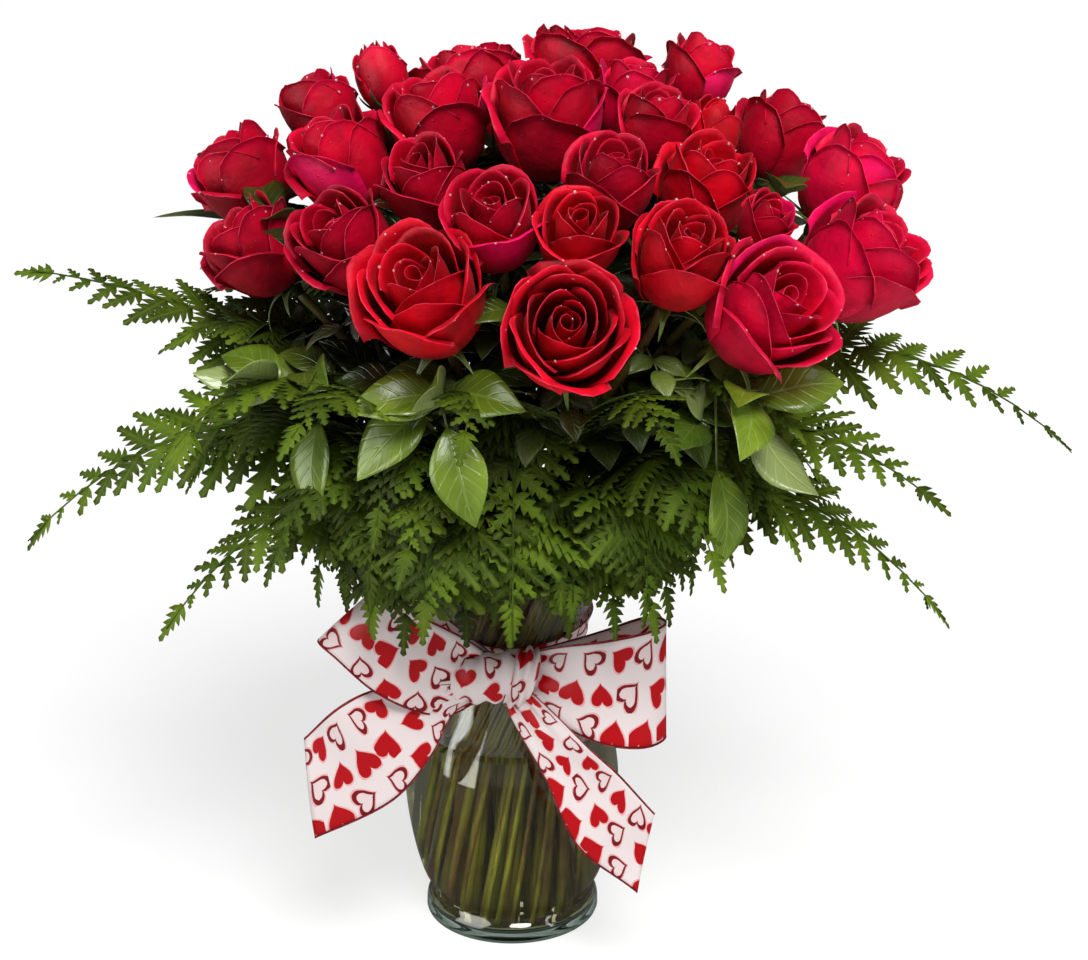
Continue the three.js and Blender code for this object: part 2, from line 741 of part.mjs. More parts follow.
/** The point at a share of a path of evenly shared straight steps. */
function alongPath(path, share) {
  const steps = share * (path.length - 1);
  const k = Math.min(Math.floor(steps), path.length - 2);
  return path[k].clone().lerp(path[k + 1], steps - k);
}

/** A leafy stem: its stalk from the vase's floor to its end, with its leaves. */
function leafyGeometry({ azimuth, arch, end, leaves }) {
  const line = stalkLine(azimuth);
  const { start, leaving } = leavingMouth(line);
  const curve = new THREE.CubicBezierCurve3(
    start,
    start.clone().addScaledVector(leaving, LEAFY_RISE),
    new THREE.Vector3(...arch),
    new THREE.Vector3(...end),
  );
  const path = [line(STEM_FOOT), ...curve.getPoints(STEM_CURVE_STEPS)];
  const radii = path.map((_, k) => STALK_RADIUS * (1 - LEAFY_TAPER * k));
  const blades = leaves.map(({ along, tip, width }) =>
    leafGeometry(alongPath(path.slice(1), along), new THREE.Vector3(...tip), width),
  );
  return {
    geometry: fused([tube(path, radii, STALK_SIDES), ...blades]),
    stem: { line, radius: STALK_RADIUS, sides: STALK_SIDES },
  };
}

/** A strip of ribbon between two edges. */
function ribbonStrip({ upper, lower, steps }) {
  const [top, bottom] = [upper, lower].map((edge) =>
    new THREE.CatmullRomCurve3(edge.map((p) => new THREE.Vector3(...p))).getPoints(steps),
  );
  const points = [...top, ...bottom];
  const triangles = [];
  for (let k = 0; k < steps; k += 1) {
    const low = k + steps + 1;
    triangles.push([k, low, low + 1], [k, low + 1, k + 1]);
  }
  return sheet(points, triangles, RIBBON_THICKNESS);
}

/** The band of ribbon round the neck, just off the glass. */
function bandGeometry() {
  const inner = BAND_HEIGHTS.map((z) => new THREE.Vector2(glassRadius(z) + BAND_CLEARANCE, z));
  const outer = inner.map((p) => new THREE.Vector2(p.x + BAND_THICKNESS, p.y));
  return turned([...outer, ...inner.reverse(), outer[0]]);
}

function ribbonGeometry() {
  const knot = new THREE.SphereGeometry(1, 8, 6).scale(...KNOT_SIZE).translate(...KNOT_PLACE);
  return fused([bandGeometry(), knot, ...Object.values(RIBBON_EDGES).map(ribbonStrip)]);
}

const roses = new THREE.Group();

/** Hangs a named mesh on the group. */
function place(name, geometry, material) {
  const mesh = new THREE.Mesh(geometry, material);
  mesh.name = name;
  roses.add(mesh);
}

const stems = [];
const domeMiddle = [HEART.x, HEART.y];
let roseNumber = 0;

Object.entries(BUNDLES).forEach(([name, blooms]) => {
  const azimuth = azimuthAbout(middleOf(blooms), domeMiddle) - NECK_LAG;
  const neckPlace = name === "middle" ? [0, 0] : onCircle(BUNDLE_RING, azimuth);
  const tubes = arranged(blooms, neckPlace).map(({ at, d, form = "cup", line }) => {
    roseNumber += 1;
    const middle = new THREE.Vector3(...at);
    const facing = middle.clone().sub(HEART).normalize();
    const base = middle.clone().addScaledVector(facing, d * BLOOM_ABOVE - bloomHeight(form, d));
    const roll = GOLDEN_TURN * roseNumber;
    const bloom = stood(bloomGeometry(form, d), base, facing, roll);
    place(`rose_${String(roseNumber).padStart(2, "0")}`, bloom, PETAL);
    stems.push({ line, radius: STEM_RADIUS, sides: STEM_SIDES });
    return roseStemGeometry({ line, base, facing, d });
  });
  place(`rose_stems_${name}`, fused(tubes), STEM);
});

Object.entries(FRONDS).forEach(([name, frond]) => {
  const { geometry, stem } = frondGeometry(frond);
  stems.push(stem);
  place(`fern_frond_${name}`, geometry, FERN);
});

Object.entries(LEAFY_STEMS).forEach(([name, leafy]) => {
  const { geometry, stem } = leafyGeometry(leafy);
  stems.push(stem);
  place(`leafy_stem_${name}`, geometry, LEAF);
});

place("vase", vaseGeometry(), GLASS);
place("water", waterGeometry(stems), WATER);
place("ribbon", ribbonGeometry(), SATIN);

export default roses;
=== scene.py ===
"""Roses in a clear glass vase: petals, stems, leaves, fern, glass, water and ribbon.

Lengths are millimetres until a mesh is made, heights are above the vase's foot, and the front is -Y.
"""

import logging
import math
from dataclasses import dataclass, field, replace
from enum import Enum
from math import pi, radians
from typing import Callable

import bpy
import numpy as np
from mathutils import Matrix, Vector


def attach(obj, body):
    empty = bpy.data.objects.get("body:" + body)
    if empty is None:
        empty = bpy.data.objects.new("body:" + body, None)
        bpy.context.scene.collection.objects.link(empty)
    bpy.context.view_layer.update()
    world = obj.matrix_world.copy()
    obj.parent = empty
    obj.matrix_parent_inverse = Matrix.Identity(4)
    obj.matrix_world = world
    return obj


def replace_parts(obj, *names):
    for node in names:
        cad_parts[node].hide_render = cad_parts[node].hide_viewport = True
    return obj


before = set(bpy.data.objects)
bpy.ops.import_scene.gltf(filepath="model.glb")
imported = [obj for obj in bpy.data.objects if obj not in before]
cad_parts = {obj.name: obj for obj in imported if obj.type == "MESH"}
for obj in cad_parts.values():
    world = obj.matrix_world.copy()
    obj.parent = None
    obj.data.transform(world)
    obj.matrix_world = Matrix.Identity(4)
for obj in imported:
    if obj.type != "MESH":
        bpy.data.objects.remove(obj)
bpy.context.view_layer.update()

LOG = logging.getLogger("roses")
MM = 0.001
BODY = "root"
UP = np.array([0.0, 0.0, 1.0])
Array = np.ndarray
Place = tuple[float, float, float]
Socket = bpy.types.NodeSocket
seeded = np.random.default_rng

# The vase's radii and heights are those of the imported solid, but for a thinner floor of glass
VASE_OUTLINE = (
    (51, 2), (50.5, 9), (47, 15), (53, 28), (59.5, 54), (62.8, 84), (61, 104),
    (54, 126), (43.5, 146), (39, 162), (42, 180), (47.5, 201), (54, 222),
)
VASE_FOOT = ((0.1, 0.6), (20, 0.5), (38, 0.4), (44, 0.0), (49.0, 0.0), (50.4, 0.6))
GLASS_WALL = 3.0
GLASS_FLOOR = 4.0
INNER_START = 9.5
MOUTH_HEIGHT = 222.0
WATER_LEVEL = 122.0

# The stems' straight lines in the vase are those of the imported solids, with feet that reach lower
WAIST_HEIGHT = 160.0
STEM_FOOT = 8.0
STEM_RADIUS = 2.5
BEND_HEIGHT = MOUTH_HEIGHT + 4
BUNDLE_RING = 21.0
BUNDLE_SPACING = 3.8
BUNDLE_TURN = 0.0058
STEM_TURN = 0.016
NECK_LAG = 35.0
STEM_STIFFNESS = 0.36
NODE_SWELL = 0.1
NODE_SPACING = 62.0
NODE_SHIFT = 17
STALK_RING = 31.5
STALK_RADIUS = 1.5
LEANING_RADIUS = 1.1
LEANING_RING = 34.2
LEANING_TURN = 0.0128
LEANING_LAG = 54.0
LEANING_FOOT = 112.0
HEART = np.array([20.0, -10.0, 330.0])
GOLDEN_TURN = 137.5
BLOOM_ABOVE = 0.42
GAP = 0.3
HIP_DEPTH = 1.4
LEAF_THICKNESS = 0.45
LEAF_BROADEST = 0.85

# The seeds of each kind of piece count on from its first
PETAL_SEED = 100
FROND_SEED = 200
FILLING_SEED = 300
CALYX_SEED = 500
DEW_SEED = 700
LEAF_SEED = 900


class Form(Enum):
    """How far a bloom has opened."""

    CUP = "cup"
    OPEN = "open"
    SMALL = "small"
    BUD = "bud"


class Tone(Enum):
    """The red of a bloom."""

    CRIMSON = "crimson"
    SCARLET = "scarlet"
    ROSE = "rose"
    WINE = "wine"


CUP, OPEN, SMALL, BUD = Form
CRIMSON, SCARLET, ROSE, WINE = Tone


def unit(vectors: Array) -> Array:
    """Vectors along the last axis divided by their lengths, or zero where they have none."""
    lengths = np.linalg.norm(vectors, axis=-1, keepdims=True)
    return vectors / np.maximum(lengths, 1e-12)


def stacked(*parts: Array) -> Array:
    """Coordinates or corners, spread to one shape, side by side along a new last axis."""
    return np.stack(np.broadcast_arrays(*parts), axis=-1)


def bezier(corners: Array, shares: Array) -> Array:
    """Points of a cubic curve at shares along it: its four corners weighed by Bernstein's cubics."""
    t = np.asarray(shares)[..., None]
    a, b, c, d = (np.asarray(corner, float) for corner in corners)
    return (1 - t) ** 3 * a + 3 * (1 - t) ** 2 * t * b + 3 * (1 - t) * t**2 * c + t**3 * d


def through(points: Array, shares: Array) -> Array:
    """Points of a smooth curve through given points.

    Between two neighbours it is the cubic that leaves each along the line between the neighbours of
    that one, with its steps shared out by the square roots of the distances.

    Args:
        points: the points that it goes through.
        shares: places along the curve, 0 to 1, by the number of stretches.

    Returns:
        One point for each share.
    """
    points = np.asarray(points, float)
    padded = np.vstack([2 * points[0] - points[1], points, 2 * points[-1] - points[-2]])
    steps = np.sqrt(np.maximum(np.linalg.norm(np.diff(padded, axis=0), axis=1), 1e-6))
    at = np.clip(np.asarray(shares) * (len(points) - 1), 0, len(points) - 1 - 1e-9)
    k = at.astype(int)
    t = (at - k)[:, None]
    before, after, beyond = (padded[k + i] for i in (1, 2, 3))
    first, middle, last = (steps[k + i][:, None] for i in (0, 1, 2))
    behind = padded[k]
    leave = (before - behind) / first - (after - behind) / (first + middle) + (after - before) / middle
    reach = (after - before) / middle - (beyond - before) / (middle + last) + (beyond - after) / last
    leave, reach = leave * middle, reach * middle
    return (
        (2 * t**3 - 3 * t**2 + 1) * before + (t**3 - 2 * t**2 + t) * leave
        + (3 * t**2 - 2 * t**3) * after + (t**3 - t**2) * reach
    )


@dataclass
class Surface:
    """A closed surface in millimetres.

    uv is each point's place on its petal, leaf or cloth, side is 0 on the face and 1 on the back, and
    tone is a number for the whole petal, leaf or stem.
    """

    points: Array
    quads: Array = field(default_factory=lambda: np.zeros((0, 4), int))
    triangles: Array = field(default_factory=lambda: np.zeros((0, 3), int))
    uv: Array | None = None
    side: Array | None = None
    tone: Array | None = None

    def __post_init__(self) -> None:
        """Fills in the marks that weren't given."""
        count = len(self.points)
        self.uv = np.zeros((count, 2)) if self.uv is None else self.uv
        self.side = np.zeros(count) if self.side is None else self.side
        self.tone = np.full(count, 0.5) if self.tone is None else self.tone

    def toned(self, tone: float) -> "Surface":
        """The same surface with one tone all over."""
        self.tone = np.full(len(self.points), float(tone))
        return self

    @staticmethod
    def joined(surfaces: list["Surface"]) -> "Surface":
        """Several surfaces as one, with all their points and faces in order."""
        starts = np.cumsum([0] + [len(s.points) for s in surfaces[:-1]])
        return Surface(
            np.vstack([s.points for s in surfaces]),
            np.vstack([s.quads + start for s, start in zip(surfaces, starts)]),
            np.vstack([s.triangles + start for s, start in zip(surfaces, starts)]),
            np.vstack([s.uv for s in surfaces]),
            np.concatenate([s.side for s in surfaces]),
            np.concatenate([s.tone for s in surfaces]),
        )


def shell(grid: Array, uv: Array, thickness: float, wrap: bool = False) -> Surface:
    """A closed sheet: the grid moved half the thickness to each side along its own normals, with a rim.

    Args:
        grid: rows and columns of points.
        uv: the place of each point on the sheet, in the same rows and columns.
        thickness: in millimetres.
        wrap: whether the last column runs on into the first.

    Returns:
        The closed sheet, with its face along rows cross columns.
    """
    rows, columns = grid.shape[:2]
    if wrap:
        across = np.roll(grid, -1, axis=1) - np.roll(grid, 1, axis=1)
    else:
        across = np.gradient(grid, axis=1)
    normals = unit(np.cross(np.gradient(grid, axis=0), across)) * thickness / 2
    index = np.arange(rows * columns).reshape(rows, columns)
    here, ahead = (index, np.roll(index, -1, axis=1)) if wrap else (index[:, :-1], index[:, 1:])
    face = stacked(here[:-1], here[1:], ahead[1:], ahead[:-1]).reshape(-1, 4)
    back = face[:, ::-1] + rows * columns
    if wrap:
        loops = [(index[-1], ahead[-1]), (ahead[0], index[0])]
    else:
        loop = np.concatenate([index[:, 0], index[-1, 1:], index[-2::-1, -1], index[0, -2:0:-1]])
        loops = [(loop, np.roll(loop, -1))]
    rim = [stacked(b, a, a + rows * columns, b + rows * columns) for a, b in loops]
    return Surface(
        np.vstack([(grid + normals).reshape(-1, 3), (grid - normals).reshape(-1, 3)]),
        np.vstack([face, back, *rim]),
        uv=np.tile(uv.reshape(-1, 2), (2, 1)),
        side=np.repeat([0.0, 1.0], rows * columns),
    )


def ringed(rings: Array) -> Surface:
    """A closed body of rings of points, each ring running left round its way on, closed by flat fans.

    Args:
        rings: rings by points by three.

    Returns:
        The body, with uv as the share along it and the share round it.
    """
    count, sides = rings.shape[:2]
    index = np.arange(count * sides).reshape(count, sides)
    ahead = np.roll(index, -1, axis=1)
    walls = stacked(index[:-1], ahead[:-1], ahead[1:], index[1:]).reshape(-1, 4)
    ends = np.vstack([rings[0].mean(0), rings[-1].mean(0)])
    first, last = count * sides, count * sides + 1
    fans = np.vstack([
        stacked(first, ahead[0], index[0]),
        stacked(last, index[-1], ahead[-1]),
    ])
    along, about = np.meshgrid(np.linspace(0, 1, count), np.arange(sides) / sides, indexing="ij")
    uv = np.vstack([stacked(along, about).reshape(-1, 2), [[0, 0], [1, 0]]])
    return Surface(np.vstack([rings.reshape(-1, 3), ends]), walls, fans, uv)


def tube(path: Array, radii: Array | float, sides: int, across: Array | None = None) -> Surface:
    """A closed round tube: at each point of a path, a circle square to the path.

    Args:
        path: the points of its middle line.
        radii: its radius, or one for each point.
        sides: points in each circle.
        across: a direction that the path never takes.

    Returns:
        The tube.
    """
    path = np.asarray(path, float)
    along = unit(np.gradient(path, axis=0))
    if across is None:
        across = np.cross(UP, path[-1] - path[0])
        if np.linalg.norm(across) < 1:
            across = np.array([1.0, 0.0, 0.0])
    other = unit(np.cross(along, across))
    across = np.cross(other, along)
    angles = 2 * pi * np.arange(sides) / sides
    radii = np.broadcast_to(np.asarray(radii, float), len(path))[:, None, None]
    wheel = np.cos(angles)[:, None] * across[:, None] + np.sin(angles)[:, None] * other[:, None]
    return ringed(path[:, None] + radii * wheel)


def lathe(profile: Array, sides: int) -> Surface:
    """A body turned about the axis from the radius and height of each ring, with the body on the left."""
    angles = 2 * pi * np.arange(sides) / sides
    radius, height = np.asarray(profile, float).T
    radius, height = radius[:, None], height[:, None]
    return ringed(stacked(radius * np.cos(angles), radius * np.sin(angles), height))


def placed(name: str, data: bpy.types.ID) -> bpy.types.Object:
    """A new object in the scene, at the origin."""
    made = bpy.data.objects.new(name, data)
    bpy.context.scene.collection.objects.link(made)
    return made


def mesh_piece(name: str, surface: Surface, material: bpy.types.Material) -> bpy.types.Object:
    """Makes an object of a surface, in metres, smooth, with its marks, and rides it on the body.

    Args:
        name: the piece's name.
        surface: its surface, in millimetres.
        material: its finish.

    Returns:
        The object, at the origin.
    """
    mesh = bpy.data.meshes.new(name)
    corners = np.concatenate([surface.quads.ravel(), surface.triangles.ravel()]).astype(np.int32)
    quads, triangles = len(surface.quads), len(surface.triangles)
    starts = np.concatenate([4 * np.arange(quads), 4 * quads + 3 * np.arange(triangles)])
    mesh.vertices.add(len(surface.points))
    mesh.vertices.foreach_set("co", (surface.points * MM).astype(np.float32).ravel())
    mesh.loops.add(len(corners))
    mesh.loops.foreach_set("vertex_index", corners)
    mesh.polygons.add(quads + triangles)
    mesh.polygons.foreach_set("loop_start", starts.astype(np.int32))
    mesh.update(calc_edges=True)
    mesh.polygons.foreach_set("use_smooth", np.ones(quads + triangles, bool))
    layer = mesh.uv_layers.new(name="UVMap")
    layer.data.foreach_set("uv", surface.uv[corners].astype(np.float32).ravel())
    for label, values in (("side", surface.side), ("tone", surface.tone)):
        mark = mesh.attributes.new(label, "FLOAT", "POINT")
        mark.data.foreach_set("value", values.astype(np.float32))
    mesh.materials.append(material)
    piece = placed(name, mesh)
    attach(piece, BODY)
    LOG.info("%s: %d triangles", name, 2 * quads + triangles)
    return piece


class Nodes:
    """Adds and joins the nodes of one material or node group, and does sums with them."""

    def __init__(self, tree: bpy.types.NodeTree) -> None:
        """Keeps the tree that it adds to."""
        self.tree = tree

    def feed(self, socket: Socket, value: object) -> None:
        """Joins a socket to an input, or sets a plain value on it."""
        if isinstance(value, Socket):
            self.tree.links.new(value, socket)
        elif isinstance(value, tuple) and len(value) == 3 and socket.type == "RGBA":
            socket.default_value = (*value, 1.0)
        else:
            socket.default_value = value

    def add(self, kind: str, inputs: dict | None = None, **settings: object) -> bpy.types.Node:
        """Adds a node.

        Args:
            kind: its type, without the words ShaderNode.
            inputs: values or sockets by the input's name or number.
            settings: its own properties.

        Returns:
            The node.
        """
        node = self.tree.nodes.new("ShaderNode" + kind)
        for key, value in settings.items():
            setattr(node, key, value)
        for key, value in (inputs or {}).items():
            self.feed(node.inputs[key], value)
        return node

    def math(self, operation: str, *values: object) -> Socket:
        """The outcome of a sum on numbers or sockets."""
        return self.add("Math", dict(enumerate(values)), operation=operation).outputs[0]

    def plus(self, first: object, second: object) -> Socket:
        """One number and another."""
        return self.math("ADD", first, second)

    def minus(self, first: object, second: object) -> Socket:
        """One number less another."""
        return self.math("SUBTRACT", first, second)

    def times(self, first: object, second: object) -> Socket:
        """One number times another."""
        return self.math("MULTIPLY", first, second)

    def linear(self, value: object, slope: object, start: object) -> Socket:
        """A number times a slope, added to a start."""
        return self.math("MULTIPLY_ADD", value, slope, start)

    def scaled(self, colour: object, share: object) -> Socket:
        """A colour times a share."""
        return self.add("VectorMath", {0: colour, "Scale": share}, operation="SCALE").outputs[0]

    def step(self, value: object, low: float, high: float) -> Socket:
        """A soft step from 0 at low to 1 at high."""
        ends = {"Value": value, "From Min": low, "From Max": high}
        return self.add("MapRange", ends, interpolation_type="SMOOTHSTEP").outputs[0]

    def blend(self, share: object, first: object, second: object) -> Socket:
        """One colour turning into another by a share. The node's colour sockets are 6 and 7 in, 2 out."""
        return self.add("Mix", {0: share, 6: first, 7: second}, data_type="RGBA").outputs[2]

    def mark(self, name: str) -> Socket:
        """A point mark of the mesh."""
        return self.add("Attribute", attribute_name=name).outputs["Fac"]

    def noise(self, place: object, scale: object, detail: float) -> Socket:
        """Cloudy noise about a half, in cells of one over the scale."""
        return self.add("TexNoise", {"Vector": place, "Scale": scale, "Detail": detail}).outputs[0]

    def group(self, name: str, inputs: dict[str, object]) -> bpy.types.Node:
        """Places a node group with its own values."""
        node = self.add("Group", node_tree=bpy.data.node_groups[name])
        for key, value in inputs.items():
            self.feed(node.inputs[key], value)
        return node


def new_group(name: str, inputs: dict[str, str], outputs: dict[str, str]) -> tuple[Nodes, object, object]:
    """Starts a shader node group.

    Args:
        name: its name.
        inputs: socket types by name.
        outputs: socket types by name.

    Returns:
        The nodes to add to, the group's own inputs and its output node.
    """
    tree = bpy.data.node_groups.new(name, "ShaderNodeTree")
    for socket, kind in inputs.items():
        tree.interface.new_socket(socket, in_out="INPUT", socket_type=kind)
    for socket, kind in outputs.items():
        tree.interface.new_socket(socket, in_out="OUTPUT", socket_type=kind)
    nodes = Nodes(tree)
    given = tree.nodes.new("NodeGroupInput")
    shown = tree.nodes.new("NodeGroupOutput")
    return nodes, given.outputs, shown


FLOAT, VECTOR, COLOUR = "NodeSocketFloat", "NodeSocketVector", "NodeSocketColor"


def build_mottle() -> None:
    """The group mottle: a colour lightened and darkened in soft patches, and a fine grain to bump with."""
    nodes, given, shown = new_group(
        "mottle",
        {"Place": VECTOR, "Colour": COLOUR, "Other": COLOUR, "Patch": FLOAT, "Grain": FLOAT},
        {"Colour": COLOUR, "Grain": FLOAT},
    )
    patch = nodes.noise(given["Place"], given["Patch"], 4.0)
    grain = nodes.noise(given["Place"], given["Grain"], 2.0)
    share = nodes.step(patch, 0.35, 0.68)
    nodes.feed(shown.inputs["Colour"], nodes.blend(share, given["Colour"], given["Other"]))
    nodes.feed(shown.inputs["Grain"], grain)


def build_veins() -> None:
    """The group veins: a midrib and slanting side veins on a leaf's own uv, 1 on a vein and 0 between."""
    nodes, given, shown = new_group("veins", {"Leaf": VECTOR, "Pairs": FLOAT}, {"Rib": FLOAT, "Vein": FLOAT})
    split = nodes.add("SeparateXYZ", {0: given["Leaf"]})
    across = nodes.math("ABSOLUTE", nodes.minus(split.outputs[0], 0.5))
    rib = nodes.minus(1.0, nodes.step(across, 0.012, 0.045))
    slanted = nodes.minus(split.outputs[1], nodes.times(across, 0.55))
    turns = nodes.times(slanted, nodes.times(given["Pairs"], 2 * pi))
    wave = nodes.linear(nodes.math("COSINE", turns), 0.5, 0.5)
    vein = nodes.step(wave, 0.82, 0.99)
    nodes.feed(shown.inputs["Rib"], rib)
    nodes.feed(shown.inputs["Vein"], nodes.math("MAXIMUM", rib, nodes.times(vein, 0.6)))


def build_dew() -> None:
    """The group dew: small round drops scattered on a surface, 1 in a drop's middle and 0 off it."""
    nodes, given, shown = new_group("dew", {"Place": VECTOR, "Scale": FLOAT, "Share": FLOAT}, {"Drop": FLOAT})
    cells = nodes.add("TexVoronoi", {"Vector": given["Place"], "Scale": given["Scale"]})
    chance = nodes.add("SeparateXYZ", {0: cells.outputs["Color"]}).outputs[0]
    here = nodes.math("LESS_THAN", chance, given["Share"])
    near = nodes.minus(1.0, nodes.step(cells.outputs["Distance"], 0.05, 0.3))
    nodes.feed(shown.inputs["Drop"], nodes.times(near, here))


HEART_HEIGHT = 1.25
HEART_SIZE = 0.33
HEART_STRAY = 0.06
HEART_TILT = 1.4
HEART_LINE = 0.68


def heart_value(nodes: Nodes, x: object, y: object, size: float) -> Socket:
    """Below 1 inside a heart: x squared, plus the square of the stretched y less the root of x's size."""
    x = nodes.math("DIVIDE", x, size)
    y = nodes.math("DIVIDE", y, size)
    lifted = nodes.minus(nodes.times(y, HEART_HEIGHT), nodes.math("SQRT", nodes.math("ABSOLUTE", x)))
    return nodes.plus(nodes.times(x, x), nodes.times(lifted, lifted))


def build_hearts() -> None:
    """The group hearts: one heart in each cell of a staggered grid, turned and sized by the cell.

    Solid and Line are 1 on filled and outlined hearts, and Halo is 1 in the pale ring round each.
    """
    nodes, given, shown = new_group(
        "hearts", {"Cloth": VECTOR, "Cell": FLOAT}, {"Solid": FLOAT, "Line": FLOAT, "Halo": FLOAT}
    )
    place = nodes.add("SeparateXYZ", {0: given["Cloth"]})
    down = nodes.math("DIVIDE", place.outputs[1], given["Cell"])
    row = nodes.math("FLOOR", down)
    lag = nodes.times(nodes.math("MODULO", row, 2.0), 0.5)
    along = nodes.plus(nodes.math("DIVIDE", place.outputs[0], given["Cell"]), lag)
    column = nodes.math("FLOOR", along)
    cell = nodes.add("CombineXYZ", {0: column, 1: row})
    chance = nodes.add("TexWhiteNoise", {"Vector": cell.outputs[0]})
    turn = nodes.add("SeparateXYZ", {0: chance.outputs["Color"]})
    x = nodes.minus(nodes.minus(along, column), 0.5)
    y = nodes.minus(nodes.minus(down, row), 0.5)
    stray = nodes.linear(chance.outputs["Value"], -HEART_STRAY, HEART_STRAY)
    x = nodes.minus(x, nodes.times(nodes.linear(turn.outputs[0], 2.0, -1.0), stray))
    y = nodes.minus(y, nodes.times(nodes.linear(turn.outputs[1], 2.0, -1.0), stray))
    angle = nodes.linear(turn.outputs[2], 2 * HEART_TILT, -HEART_TILT)
    cos, sin = nodes.math("COSINE", angle), nodes.math("SINE", angle)
    size = nodes.linear(chance.outputs["Value"], 0.08, HEART_SIZE)
    across = nodes.minus(nodes.times(x, cos), nodes.times(y, sin))
    upward = nodes.plus(nodes.times(x, sin), nodes.times(y, cos))
    across = nodes.math("DIVIDE", across, nodes.times(size, 1.1))
    upward = nodes.plus(nodes.math("DIVIDE", upward, size), 0.15)
    skew = nodes.linear(turn.outputs[0], 0.3, -0.15)
    across = nodes.plus(across, nodes.times(skew, upward))
    hand = nodes.noise(given["Cloth"], 260.0, 2.0)
    brush = nodes.linear(hand, 0.5, 0.75)
    shape = heart_value(nodes, across, upward, 1.0)
    whole = nodes.math("LESS_THAN", shape, nodes.linear(hand, 0.3, 0.85))
    inside = heart_value(nodes, across, nodes.minus(upward, 0.06), HEART_LINE)
    inner = nodes.math("LESS_THAN", inside, brush)
    outer = nodes.math("LESS_THAN", shape, 1.32)
    filled = nodes.math("GREATER_THAN", turn.outputs[1], 0.45)
    ring = nodes.minus(whole, inner)
    solid = nodes.times(whole, filled)
    line = nodes.times(ring, nodes.minus(1.0, filled))
    nodes.feed(shown.inputs["Solid"], solid)
    nodes.feed(shown.inputs["Line"], line)
    printed = nodes.minus(outer, nodes.math("MAXIMUM", solid, line))
    hollow = nodes.times(inner, nodes.minus(1.0, filled))
    nodes.feed(shown.inputs["Halo"], nodes.minus(printed, nodes.times(hollow, 0.8)))


class Finish:
    """A material being made: its nodes, its main shader and its places."""

    def __init__(self, name: str, **plain: object) -> None:
        """Starts a material with plain values on its main shader.

        Args:
            name: the material's name.
            plain: values by the shader's input, with _ for a space.
        """
        self.material = bpy.data.materials.new(name)
        self.material.use_nodes = True
        self.tree = self.material.node_tree
        self.nodes = Nodes(self.tree)
        self.shader = self.tree.nodes["Principled BSDF"]
        for key, value in plain.items():
            self.nodes.feed(self.shader.inputs[key.replace("_", " ")], value)
        places = self.nodes.add("TexCoord")
        self.object_place = places.outputs["Object"]
        self.uv = places.outputs["UV"]

    def set(self, socket: str, value: object) -> None:
        """Feeds one of the main shader's inputs."""
        self.nodes.feed(self.shader.inputs[socket], value)

    def bump(self, height: object, distance: float, strength: float) -> None:
        """Bumps the surface by a height."""
        node = self.nodes.add("Bump", {"Height": height, "Distance": distance, "Strength": strength})
        self.set("Normal", node.outputs[0])


@dataclass(frozen=True)
class PetalFinish:
    """Velvety petals: a deep face, a pinker back, pinker lips lightened by a painted highlight, painted
    highlights in patches on the edges, a few petals painted hot pink as a highlight, a darker base that is
    partly painted shade, fine veins along them and drops of dew.
    """

    name: str
    face: Place
    back: Place
    rim: Place
    # The colour below is a painted highlight in patches along the petals' edges.
    pale: Place = (0.9, 0.05, 0.115)
    # The colour below is a painted highlight: the hot pink of a few outer petals catching the light.
    lit_pink: Place = (0.86, 0.003, 0.11)

    def material(self) -> bpy.types.Material:
        """Makes the petals' material."""
        made = Finish(self.name, Specular_IOR_Level=0.12, Sheen_Weight=0.02, Sheen_Roughness=0.4)
        nodes = made.nodes
        split = nodes.add("SeparateXYZ", {0: made.uv})
        along = split.outputs[1]
        streaks = nodes.add("Mapping", {"Vector": made.uv, "Scale": (34.0, 1.6, 1.0)})
        streak = nodes.noise(streaks.outputs[0], 1.0, 2.0)
        tone = nodes.mark("tone")
        sides = nodes.blend(nodes.mark("side"), self.face, self.back)
        # Painted highlight, with the lips' own pinker colour: each rolled lip turns towards the rim colour,
        # lighter where it catches the light.
        lip = nodes.times(nodes.step(along, 0.62, 1.0), 0.75)
        sides = nodes.blend(lip, sides, self.rim)
        # Painted highlight: a few outer petals turn hot pink, as where light catches them.
        lit_pink_petal = nodes.times(nodes.step(tone, 1.2, 1.6), nodes.step(along, 0.1, 0.8))
        sides = nodes.blend(lit_pink_petal, sides, self.lit_pink)
        shade = nodes.linear(nodes.math("MINIMUM", tone, 1.0), 0.4, 0.7)
        # Painted shade, partly the petals' own darker base: darker towards the base, deep in the bloom.
        deep = nodes.linear(nodes.step(along, 0.0, 0.7), 0.46, 0.54)
        sides = nodes.scaled(sides, nodes.times(shade, deep))
        mottled = nodes.group(
            "mottle",
            {"Place": made.object_place, "Colour": sides, "Other": nodes.scaled(sides, 0.66),
             "Patch": 75.0, "Grain": 900.0},
        )
        veined = nodes.blend(
            nodes.times(nodes.step(streak, 0.5, 0.75), 0.25), mottled.outputs[0], self.back
        )
        # Painted highlight: pale patches along the petals' edges.
        outward = nodes.math("ABSOLUTE", nodes.linear(split.outputs[0], 2.0, -1.0))
        edge = nodes.times(nodes.step(outward, 0.95, 1.0), nodes.step(along, 0.72, 0.98))
        edge = nodes.math("MAXIMUM", edge, nodes.step(along, 0.965, 1.0))
        patch = nodes.step(nodes.noise(made.object_place, 95.0, 2.0), 0.4, 0.7)
        made.set("Base Color", nodes.blend(nodes.times(edge, patch), veined, self.pale))
        fine = nodes.group("dew", {"Place": made.object_place, "Scale": 420.0, "Share": 0.12}).outputs[0]
        made.set("Roughness", nodes.linear(fine, -0.3, 0.48))
        waves = nodes.times(nodes.noise(made.object_place, 130.0, 2.0), 2.2)
        relief = nodes.plus(nodes.times(streak, 0.35), nodes.plus(fine, waves))
        made.bump(relief, 0.0006, 0.6)
        return made.material


